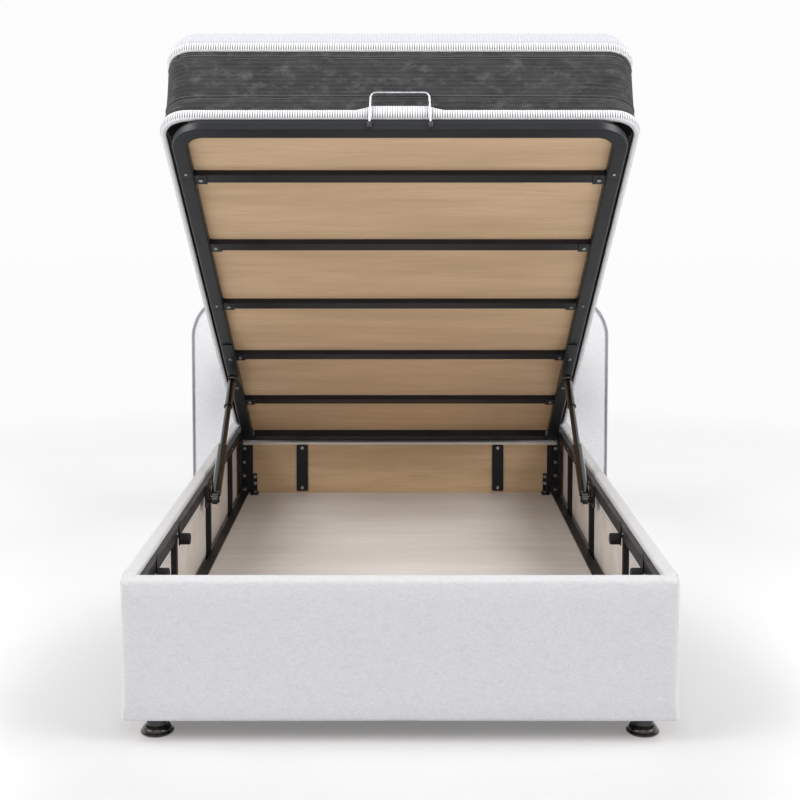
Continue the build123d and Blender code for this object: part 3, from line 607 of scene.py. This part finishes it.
def stand_in(piece: Piece, nodes: Sequence[str], body: str, slot: str, finish: Finish | None = None) -> None:
    """Gives a finished piece its finish and its body, and hides the CAD nodes that it stands for.

    Args:
        piece: The piece.
        nodes: The CAD nodes it stands for.
        body: The body it rides on.
        slot: The record's material slot.
        finish: Its finish, where that isn't the slot's.
    """
    (finish or FINISHES[slot]).dress(piece)
    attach(piece, body)
    if nodes:
        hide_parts(*nodes)
    LOG.info("%s: %d faces", piece.name, len(piece.data.polygons))


# Base covers

# A held rim lets the pad swell again over this distance.
EASE = 30 * MM


@dataclass
class FrontCover:
    """The padded sleeve over the foot-end board: crowned face, round edges, a bottom open for the board."""

    edge: float = 11 * MM
    cell: float = 16 * MM
    slack: float = 2 * MM
    swell: float = 3 * MM
    back_rim: float = 3 * MM
    back_ease: float = 20 * MM

    def build(self) -> None:
        """Makes the sleeve."""
        low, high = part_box("front_cover")
        board_low, board_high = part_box("front_board")
        form = bmesh.new()
        outer = cuboid(form, low + Vector((self.slack, self.slack, 0)), high - Vector((self.slack, 0, 0)))
        drop_bottom(form, outer)
        front = level_edges(form, Across.LENGTH, low.y + self.slack)
        round_off(form, level_edges(form, Across.HEIGHT, high.z) + along(front, Across.HEIGHT), self.edge)
        cut_across(form, Across.WIDTH, low.x, high.x, self.cell)
        cut_across(form, Across.HEIGHT, low.z, high.z, self.cell)
        drop_bottom(form, cuboid(form, board_low, board_high))
        close_bottom(form)
        piece = to_piece(form, "front_upholstery")

        def free(place: Vector) -> float:
            """Holds the rim, the pocket and the back against the lining."""
            in_pocket = abs(place.x) < board_high.x + MM and place.z < board_high.z + MM
            if in_pocket and board_low.y - MM < place.y < board_high.y + MM:
                return 0.0
            back = smooth((high.y - self.back_rim - place.y) / self.back_ease)
            return back * smooth((place.z - low.z) / EASE)

        fill_out(piece, free, self.swell)
        subdivide(piece)
        stand_in(piece, ["front_cover"], "base", "plush_cover")


class Side(Enum):
    """A side of the bed, seen from its foot end."""

    LEFT = -1
    RIGHT = 1

    @property
    def label(self) -> str:
        """The side's name in the frame."""
        return self.name.lower()


@dataclass
class SideCover:
    """The upholstery of one side: outside, over the top and tucked in a hand's width inside."""

    side: Side
    edge: float = 8 * MM
    cell: float = 22 * MM
    slack: float = 1.5 * MM
    swell: float = 4 * MM
    tuck: float = 77 * MM
    rail_gap: float = 2 * MM
    turn_in: float = 10 * MM

    def build(self) -> None:
        """Makes the cover."""
        name = self.side.label
        low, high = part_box(f"{name}_cover")
        board_low, board_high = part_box(f"{name}_board")
        inner, outer = sorted((abs(low.x), abs(high.x)))
        board_in, board_out = sorted((abs(board_low.x), abs(board_high.x)))
        outer -= self.slack
        foot = high.z - self.tuck
        section = (
            (outer, low.z), (outer, high.z), (inner, high.z), (inner, foot),
            (board_in, foot), (board_in, board_high.z), (board_out, board_high.z), (board_out, low.z),
        )
        form = bmesh.new()
        start = form.faces.new([form.verts.new((self.side.value * x, low.y, z)) for x, z in section])
        stretch_up(form, start, Vector((0, high.y - low.y, 0)))
        round_off(form, along(level_edges(form, Across.HEIGHT, high.z), Across.LENGTH), self.edge)
        cut_across(form, Across.LENGTH, low.y, high.y, self.cell)
        cut_across(form, Across.HEIGHT, low.z, board_high.z, self.cell)
        piece = to_piece(form, f"{name}_upholstery")

        def free(place: Vector) -> float:
            """Holds the rim, the ends, the board's side and the edge behind the rail."""
            if abs(place.x) < board_out + MM and place.z < board_high.z + MM:
                return 0.0
            if abs(place.x) < inner + self.rail_gap and place.z < high.z - self.turn_in:
                return 0.0
            return smooth(min(place.y - low.y, high.y - place.y) / EASE) * smooth((place.z - low.z) / EASE)

        fill_out(piece, free, self.swell)
        subdivide(piece)
        stand_in(piece, [f"{name}_cover"], "base", "plush_cover")


# Headboard


@dataclass
class Headboard:
    """The padded headboard with a corded seam round its front edge."""

    corner: float = 165 * MM
    corner_steps: int = 20
    front_edge: float = 9 * MM
    back_edge: float = 15 * MM
    slack: float = 2.5 * MM
    swell: float = 7 * MM
    back_share: float = 0.5
    net: float = 12 * MM
    held_rim: float = 8 * MM
    rim_ease: float = 25 * MM
    foot_ease: float = 40 * MM
    base_half: float = 660 * MM
    base_top: float = 420 * MM
    face_depth: float = 20 * MM
    piping: float = 3.8 * MM
    piping_sides: int = 12
    piping_cell: float = 30 * MM
    seam_inset: float = 3.5 * MM

    def gap(self, place: Vector, high: Vector) -> float:
        """Tells how far in metres a point is inside the outline, which ends at the highest corner."""
        across = abs(place.x) - (high.x - self.corner)
        up = place.z - (high.z - self.corner)
        if across > 0 and up > 0:
            return self.corner - math.hypot(across, up)
        return self.corner - max(across, up)

    def pad(self) -> None:
        """Makes the padded cover."""
        low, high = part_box("headboard_cover")
        give = Vector((0, self.slack, 0))
        form = bmesh.new()
        cuboid(form, low + give, high - give)
        turns = along(level_edges(form, Across.HEIGHT, high.z), Across.LENGTH)
        round_off(form, turns, self.corner, self.corner_steps)
        for level, radius in ((low.y + self.slack, self.front_edge), (high.y - self.slack, self.back_edge)):
            rim = level_edges(form, Across.LENGTH, level)
            round_off(form, [e for e in rim if max(v.co.z for v in e.verts) > low.z + MM], radius)
        piece = to_piece(form, "headboard_upholstery")
        remesh(piece, self.net)

        def free(place: Vector) -> float:
            """Holds the seam, the foot, and the face where the sides butt against it."""
            at_base = place.z < self.base_top and abs(place.x) < self.base_half
            if at_base and place.y < low.y + self.face_depth:
                return 0.0
            edge = smooth((self.gap(place, high) - self.held_rim) / self.rim_ease)
            side = 1.0 if place.y < (low.y + high.y) / 2 else self.back_share
            return side * edge * smooth((place.z - low.z - self.held_rim) / self.foot_ease)

        fill_out(piece, free, self.swell)
        subdivide(piece)
        stand_in(piece, ["headboard_cover"], "base", "headboard_fabric")

    def seam(self) -> None:
        """Makes the piping as one cord round the outline."""
        low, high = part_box("headboard_cover")
        half = high.x - self.seam_inset
        radius = self.corner - self.seam_inset
        spring = high.z - self.seam_inset - radius
        rise = spring - low.z - MM
        form = bmesh.new()
        at = Matrix.Translation((-half, low.y + self.seam_inset - 0.5 * MM, low.z + MM))
        ring = bmesh.ops.create_circle(
            form, cap_ends=False, segments=self.piping_sides, radius=self.piping, matrix=at
        )["verts"]
        edges = list({edge for vert in ring for edge in vert.link_edges})
        edges = self.run(form, edges, Vector((0, 0, rise)))
        edges = self.turn(form, edges, Vector((radius - half, 0, spring)))
        edges = self.run(form, edges, Vector((2 * (half - radius), 0, 0)))
        edges = self.turn(form, edges, Vector((half - radius, 0, spring)))
        self.run(form, edges, Vector((0, 0, -rise)))
        ends = [edge for edge in form.edges if edge.is_boundary]
        bmesh.ops.holes_fill(form, edges=ends, sides=0)
        cut_across(form, Across.HEIGHT, low.z, spring, self.piping_cell)
        stand_in(to_piece(form, "headboard_corded_seam"), ["headboard_piping"], "base", "piping")

    @staticmethod
    def run(form: Form, edges: list[Edge], way: Vector) -> list[Edge]:
        """Draws a cord's end ring straight on and returns the new end ring."""
        parts = bmesh.ops.extrude_edge_only(form, edges=edges)["geom"]
        verts = [part for part in parts if isinstance(part, Vert)]
        bmesh.ops.translate(form, vec=way, verts=verts)
        return [part for part in parts if isinstance(part, Edge) and all(v in verts for v in part.verts)]

    def turn(self, form: Form, edges: list[Edge], centre: Vector) -> list[Edge]:
        """Draws a cord's end ring a quarter round a centre and returns the new end ring."""
        steps = self.corner_steps
        parts = bmesh.ops.spin(
            form, geom=edges, cent=centre, axis=(0, 1, 0), angle=math.pi / 2, steps=steps, use_merge=False
        )["geom_last"]
        return [part for part in parts if isinstance(part, Edge)]


# Mattress


def lay_on_lid(piece: Piece) -> None:
    """Carries a form laid out flat, +Y towards the head and +Z away from the lid, onto the open lid."""
    tilt = Matrix.Rotation(-math.radians(LID_TILT), 4, "X")
    piece.data.transform(Matrix.Translation(PIVOT) @ tilt @ Matrix.Translation((0, 0, -LID_LEVEL)))


@dataclass
class Mattress:
    """The mattress: suede border with two rows of stitching, ribbed tapes and a quilted knit crown."""

    base: float = 36 * MM
    tape: float = 28 * MM
    border: float = 188 * MM
    shoulder: float = 80 * MM
    roll: float = 60 * MM
    half: float = 603 * MM
    head: float = 23 * MM
    foot: float = -1854 * MM
    corner: float = 75 * MM
    corner_steps: int = 10
    cell: float = 20 * MM
    crown_net: float = 14 * MM
    border_rows: int = 14
    border_inset: float = 4 * MM
    tape_inset: float = 8 * MM
    border_swell: float = 5 * MM
    crown_swell: float = 9 * MM
    seams: tuple[float, ...] = (102 * MM, 228 * MM)
    seam_clear: float = 9 * MM
    edge_row: float = 5 * MM
    stitch_gap: float = 3.2 * MM
    groove: tuple[float, float] = (3 * MM, 2.6 * MM)
    pucker: float = 2 * MM
    thread: float = 0.8 * MM
    tape_thickness: float = 1.2 * MM
    handle_reach: float = 104 * MM
    handle_ease: float = 32 * MM
    handle_rise: float = 13 * MM
    quilt_pitch: float = 180 * MM
    quilt_groove: tuple[float, float] = (5 * MM, 11 * MM)

    @property
    def border_low(self) -> float:
        """The level at which the suede starts."""
        return self.base + self.tape

    @property
    def border_high(self) -> float:
        """The level at which the suede ends."""
        return self.border_low + self.border

    @property
    def crown_low(self) -> float:
        """The level at which the crown starts."""
        return self.border_high + self.tape

    @property
    def middle(self) -> float:
        """The place halfway along the mattress."""
        return (self.head + self.foot) / 2

    def outline(self, form: Form, level: float) -> Face:
        """Draws the mattress seen from above as one face, with points at even steps.

        Args:
            form: The form that gets it.
            level: Its level above the lid frame.

        Returns:
            The face. Its vertices know their place along the edge.
        """
        size = Matrix.Diagonal((self.half, (self.head - self.foot) / 2, 1, 1))
        place = Matrix.Translation((0, self.middle, level))
        bmesh.ops.create_grid(form, x_segments=1, y_segments=1, size=1, matrix=place @ size)
        round_off(form, form.verts[:], self.corner, self.corner_steps, "VERTICES")
        bmesh.ops.delete(form, geom=form.faces[:], context="FACES_ONLY")
        for edge in form.edges[:]:
            pieces = round(edge.calc_length() / self.cell)
            if pieces > 1:
                bmesh.ops.subdivide_edges(form, edges=[edge], cuts=pieces - 1)
        face = bmesh.ops.contextual_create(form, geom=form.edges[:])["faces"][0]
        run = form.verts.layers.float.new("along")
        total = 0.0
        for loop in face.loops:
            loop.vert[run] = total
            total += loop.edge.calc_length()
        return face

    def outward(self, place: Vector) -> Vector:
        """Returns the way out of the mattress, level with the lid, at a point on its edge."""
        reach = self.half - self.corner
        x = min(reach, max(-reach, place.x))
        y = min(self.head - self.corner, max(self.foot + self.corner, place.y))
        return (place - Vector((x, y, place.z))).normalized()

    def wall(self, rows: Sequence[tuple[float, float]]) -> Form:
        """Draws the outline through some rows, each with its own distance out of the outline.

        Args:
            rows: Each row's distance out of the outline and its level.

        Returns:
            The form, closed at both ends.
        """
        form = bmesh.new()
        face = self.outline(form, rows[0][1])
        rings = [list(face.verts)]
        for (_, last), (_, level) in zip(rows, rows[1:]):
            face, verts = stretch_up(form, face, Vector((0, 0, level - last)))
            rings.append(verts)
        for ring, (outset, _) in zip(rings, rows):
            for vert in ring:
                vert.co += self.outward(vert.co) * outset
        return form

    def rows(self) -> list[tuple[float, float]]:
        """Lists the border's rows of points: even, closer at each seam, and drawn in behind the tapes."""
        inner = [self.border_low + self.border * i / self.border_rows for i in range(1, self.border_rows)]
        kept = [r for r in inner if all(abs(r - s) > self.seam_clear for s in self.seams)]
        near = [s + d * self.stitch_gap for s in self.seams for d in (-2, -1, 0, 1, 2)]
        edges = [self.border_low + self.edge_row, self.border_high - self.edge_row]
        behind = [
            self.base + 1.6 * MM, self.base + self.tape / 2, self.border_low, self.border_high,
            self.crown_low - self.tape / 2, self.crown_low,
        ]
        shown = [(-self.border_inset, level) for level in [*edges, *kept, *near]]
        return sorted(shown + [(-self.tape_inset, level) for level in behind], key=lambda row: row[1])

    def body(self) -> None:
        """Makes the border with the black underside."""
        piece = to_piece(self.wall(self.rows()), "mattress_border")
        rows = [seam + side * self.stitch_gap for seam in self.seams for side in (-1, 1)]
        points = piece.data.vertices
        stitched = [sorted(v.index for v in points if abs(v.co.z - row) < 0.2 * MM) for row in rows]
        middle = (self.border_low + self.border_high) / 2

        def free(place: Vector) -> float:
            """Lets the suede swell between the tapes only."""
            reach = abs(place.z - middle) / (self.border / 2)
            return smooth((1.02 - reach) / 0.3)

        fill_out(piece, free, self.border_swell)
        for point in piece.data.vertices:
            self.pull_in(point)
        self.sew(piece, stitched)
        FINISHES["border_suede"].dress(piece)
        piece.data.materials.append(UNDERSIDE.material())
        for face in piece.data.polygons:
            face.material_index = 1 if face.normal.z < -0.9 else 0
        subdivide(piece)
        lay_on_lid(piece)
        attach(piece, "lid")
        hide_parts("mattress_body")

    def pull_in(self, point: bpy.types.MeshVertex) -> None:
        """Draws one point of the border in at the seams, and puckers the suede a little."""
        place = point.co
        if not self.border_low + MM < place.z < self.border_high - MM:
            return
        depth, width = self.groove
        near = min(abs(place.z - seam) for seam in self.seams)
        groove = depth * math.exp(-((near / width) ** 2))
        pucker = self.pucker * noise.noise(Vector((place.x * 12, place.y * 12, place.z * 9)))
        point.co = place + self.outward(place) * (pucker - groove)

    def sew(self, border: Piece, stitched: Iterable[Sequence[int]]) -> None:
        """Lays a thread along each row of the border's stitched points, while the border still lies flat."""
        drawing = bpy.data.curves.new("border_stitching", "CURVE")
        drawing.dimensions = "3D"
        drawing.bevel_depth = self.thread
        drawing.bevel_resolution = 1
        points = border.data.vertices
        for indices in stitched:
            ring = sorted((points[i].co for i in indices), key=self.bearing)
            line = drawing.splines.new("POLY")
            line.points.add(len(ring) - 1)
            for point, place in zip(line.points, ring):
                point.co = (*(place + self.outward(place) * 0.5 * MM), 1)
            line.use_cyclic_u = True
        shape = bpy.data.objects.new("border_stitching", drawing)
        data = bpy.data.meshes.new_from_object(shape)
        bpy.data.objects.remove(shape)
        piece = place_mesh(data, "border_stitching")
        lay_on_lid(piece)
        stand_in(piece, [], "lid", "ribbed_tape", THREAD)

    def bearing(self, place: Vector) -> float:
        """Returns a point's bearing from the mattress's middle, for a ring's order."""
        return math.atan2(place.y - self.middle, place.x)

    def tapes(self) -> None:
        """Makes both ribbed tapes as one piece.

        The lower one is rolled under the mattress's edge, where it shows from below as a pale bead.
        """
        whole = bmesh.new()
        rolled = (
            (-14, 0.4), (-8, 0.2), (-3.5, 0.8), (-0.5, 3), (1.6, 7), (2.4, 14), (1.8, 21), (0, 26), (-5, 29),
        )
        flat = ((-5, -1), (0, 2.5), (1.8, 7), (2.4, 14), (1.8, 21), (0, 25.5), (-5, 29))
        for low, section in ((self.base, rolled), (self.border_high, flat)):
            form = self.wall([(out * MM, low + up * MM) for out, up in section])
            caps = [face for face in form.faces if len(face.verts) > MOST_SIDES]
            bmesh.ops.delete(form, geom=caps, context="FACES_ONLY")
            if low == self.base:
                self.lift_handle(form)
            self.map_tape(form, low)
            part = bpy.data.meshes.new("tape")
            form.to_mesh(part)
            form.free()
            whole.from_mesh(part)
            bpy.data.meshes.remove(part)
        piece = to_piece(whole, "mattress_ribbed_tapes")
        shell = piece.modifiers.new("thickness", "SOLIDIFY")
        shell.thickness = self.tape_thickness
        shell.offset = -1
        settle(piece)
        lay_on_lid(piece)
        stand_in(piece, ["mattress_tapes"], "lid", "ribbed_tape")

    def lift_handle(self, form: Form) -> None:
        """Lifts the lower tape between the wire's legs, where the hand pulls it up."""
        for vert in form.verts:
            if vert.co.y > self.foot + self.cell:
                continue
            share = smooth((self.handle_reach - abs(vert.co.x)) / self.handle_ease)
            up = (vert.co.z - self.base) / self.tape
            vert.co.z += self.handle_rise * share * up
            vert.co.y -= 1.5 * MM * share * math.sin(math.pi * up)

    def map_tape(self, form: Form, low: float) -> None:
        """Maps the tape's open band in metres along it and up it from its lower level."""
        run = form.verts.layers.float["along"]
        chart = form.loops.layers.uv.new("along_tape")
        whole = max(vert[run] for vert in form.verts)
        for face in form.faces:
            wraps = max(v[run] for v in face.verts) - min(v[run] for v in face.verts) > whole / 2
            for loop in face.loops:
                place = loop.vert[run]
                if wraps and place < whole / 2:
                    place += whole + self.cell
                loop[chart].uv = (place, loop.vert.co.z - low)

    def top(self) -> None:
        """Makes the quilted crown."""
        angles = [math.radians(a) for a in (0, 12, 25, 38, 52, 68, 90)]
        form = self.wall([
            (-self.border_inset - self.roll * (1 - math.cos(a)), self.crown_low + self.shoulder * math.sin(a))
            for a in angles
        ])
        lid = max(form.faces, key=lambda face: face.calc_center_median().z)
        middle = lid.calc_center_median()
        for scale, rise in ((0.9, 4 * MM), (0.75, 4 * MM), (0.5, 2.5 * MM)):
            lid, verts = stretch_up(form, lid, Vector((0, 0, rise)))
            bmesh.ops.scale(form, vec=(scale, scale, 1), verts=verts, space=Matrix.Translation(-middle))
        piece = to_piece(form, "mattress_quilted_crown")
        remesh(piece, self.crown_net)

        def free(place: Vector) -> float:
            """Holds the seam at the tape and the flat underneath."""
            return smooth((place.z - self.crown_low - 6 * MM) / EASE)

        fill_out(piece, free, self.crown_swell)
        subdivide(piece)
        for point in piece.data.vertices:
            self.quilt(point)
        lay_on_lid(piece)
        stand_in(piece, ["mattress_crown"], "lid", "quilted_knit")

    def quilt(self, point: bpy.types.MeshVertex) -> None:
        """Draws one point of the crown in where a quilting line crosses the top."""
        place = point.co
        depth, width = self.quilt_groove
        above = smooth(1 + (place.z - self.crown_low - self.shoulder) / self.crown_net)
        if above == 0:
            return
        lines = [(place.x + place.y) / self.quilt_pitch, (place.x - place.y) / self.quilt_pitch]
        near = min(abs(line - round(line)) for line in lines) * self.quilt_pitch / math.sqrt(2)
        place.z -= depth * above * math.exp(-((near / width) ** 2))


# Studio


@dataclass
class Studio:
    """The plain pale floor, the soft lights, the white surround and the camera at the photograph's place."""

    lens: float = 61.58
    pitch: float = 3.78
    height: float = 1.2393
    distance: float = 2.9912
    shift: float = -0.15
    floor_half: float = 20.0
    sky: float = 0.2
    glow: tuple[float, float] = (0.2, 0.48)
    beside: tuple[float, float] = (0.6, 1.3)
    away: tuple[float, float] = (2.4, 4.2)
    white: float = 0.975
    softbox: float = 3.4
    front_power: float = 40
    side_power: float = 200

    def camera(self) -> None:
        """Sets the camera in front of the foot end."""
        data = bpy.data.cameras.new("camera")
        data.lens = self.lens
        data.sensor_width = 36
        data.shift_y = self.shift
        data.clip_end = 60
        eye = bpy.data.objects.new("camera", data)
        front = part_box("front_cover")[0].y
        eye.location = (0, front - self.distance, self.height)
        eye.rotation_euler = (math.radians(90 - self.pitch), 0, 0)
        bpy.context.scene.collection.objects.link(eye)
        bpy.context.scene.camera = eye

    def floor(self) -> None:
        """Lays the pale floor, which shows as white to the camera except for the bed's shadow."""
        form = bmesh.new()
        bmesh.ops.create_grid(form, x_segments=1, y_segments=1, size=self.floor_half)
        floor = to_piece(form, "studio_floor")
        made = bpy.data.materials.new("studio_floor_paint")
        on = Canvas.start(made)
        oval = {"Location": (0, 0.63, 0), "Scale": (1, 0.7, 1)}
        front = add(on.tree, "ShaderNodeMapping", oval, {"Vector": on.place}).outputs[0]
        beside = self.ring(on.tree, front, self.beside, self.glow)
        away = self.ring(on.tree, on.place, self.away, (0.0, 1.0))
        seen = self.seen(on.tree)
        paint = on.fade(on.cloud(0.8), "#C4C4C5", "#C8C8C9")
        shown = on.fade(away, paint, "#000000", 0, 1)
        limits = {"Value": away, "To Min": beside}
        level = add(on.tree, "ShaderNodeMapRange", {"To Max": self.white}, limits).outputs[0]
        glow = add(on.tree, "ShaderNodeMath", links={0: level, 1: seen}, operation="MULTIPLY").outputs[0]
        colour = on.fade(seen, "#E6E6E7", shown, 0, 1)
        on.set({"Base Color": colour, "Roughness": 0.9, "Specular IOR Level": 0.0})
        on.set({"Emission Color": WHITE, "Emission Strength": glow})
        floor.data.materials.append(made)

    @staticmethod
    def ring(tree: Tree, place: Socket, reach: tuple[float, float], values: tuple[float, float]) -> Socket:
        """Adds a value that changes softly with the distance from a point.

        Args:
            tree: The floor's node tree.
            place: The place, measured from that point.
            reach: The distances at which the change starts and ends.
            values: The values at those distances.

        Returns:
            The value.
        """
        far = add(tree, "ShaderNodeVectorMath", links={0: place}, operation="LENGTH").outputs["Value"]
        limits = {"From Min": reach[0], "From Max": reach[1], "To Min": values[0], "To Max": values[1]}
        eased = add(tree, "ShaderNodeMapRange", limits, {"Value": far}, interpolation_type="SMOOTHERSTEP")
        return eased.outputs[0]

    @staticmethod
    def seen(tree: Tree) -> Socket:
        """Adds a share: 1 for what the camera, a mirror or glass sees, and 0 for light on the object."""
        path = add(tree, "ShaderNodeLightPath").outputs
        share = path["Is Camera Ray"]
        for ray in ("Is Glossy Ray", "Is Transmission Ray"):
            both = {0: share, 1: path[ray]}
            share = add(tree, "ShaderNodeMath", links=both, operation="MAXIMUM").outputs[0]
        return share

    def surround(self) -> None:
        """Makes the surround white to the camera and a plain soft light to the object."""
        world = bpy.data.worlds.new("studio_surround")
        world.use_nodes = True
        tree = world.node_tree
        back = tree.nodes["Background"]
        back.inputs["Color"].default_value = WHITE
        limits = {"To Min": self.sky, "To Max": 0.98}
        level = add(tree, "ShaderNodeMapRange", limits, {"Value": self.seen(tree)})
        tree.links.new(level.outputs[0], back.inputs["Strength"])
        bpy.context.scene.world = world

    def lamp(self, name: str, place: Vector, aim: Vector, power: float) -> None:
        """Hangs one soft square lamp of some watts at a place, facing the point that it is aimed at."""
        data = bpy.data.lights.new(name, "AREA")
        data.size = self.softbox
        data.energy = power
        lamp = bpy.data.objects.new(name, data)
        lamp.location = place
        lamp.rotation_euler = (aim - place).to_track_quat("-Z", "Y").to_euler()
        bpy.context.scene.collection.objects.link(lamp)

    def build(self) -> None:
        """Sets up the whole studio."""
        bpy.context.scene.view_settings.view_transform = "Standard"
        self.camera()
        self.floor()
        self.surround()
        self.lamp("front_softbox", Vector((0, -5.4, 4.6)), Vector((0, -0.4, 0.4)), self.front_power)
        for side in Side:
            for name, reach, back, height in (("low", 5.2, -3.6, 4.0), ("high", 5.0, -1.2, 5.4)):
                place = Vector((side.value * reach, back, height))
                self.lamp(f"{side.label}_{name}_softbox", place, Vector((0, 0, 0.45)), self.side_power)


def dress_frame() -> None:
    """Gives every CAD node the finish that its slot in the record asks for."""
    for part in frame["record"]["subparts"]:
        FINISHES[part["material_slot"]].dress(frame["nodes"][part["node"]])


def main() -> None:
    """Builds every piece in order and reports it."""
    logging.basicConfig(level=logging.INFO, format="%(name)s: %(message)s")
    Studio().build()
    dress_frame()
    FrontCover().build()
    for side in Side:
        SideCover(side).build()
    board = Headboard()
    board.pad()
    board.seam()
    mattress = Mattress()
    mattress.body()
    mattress.tapes()
    mattress.top()


if __name__ == "__main__":
    main()
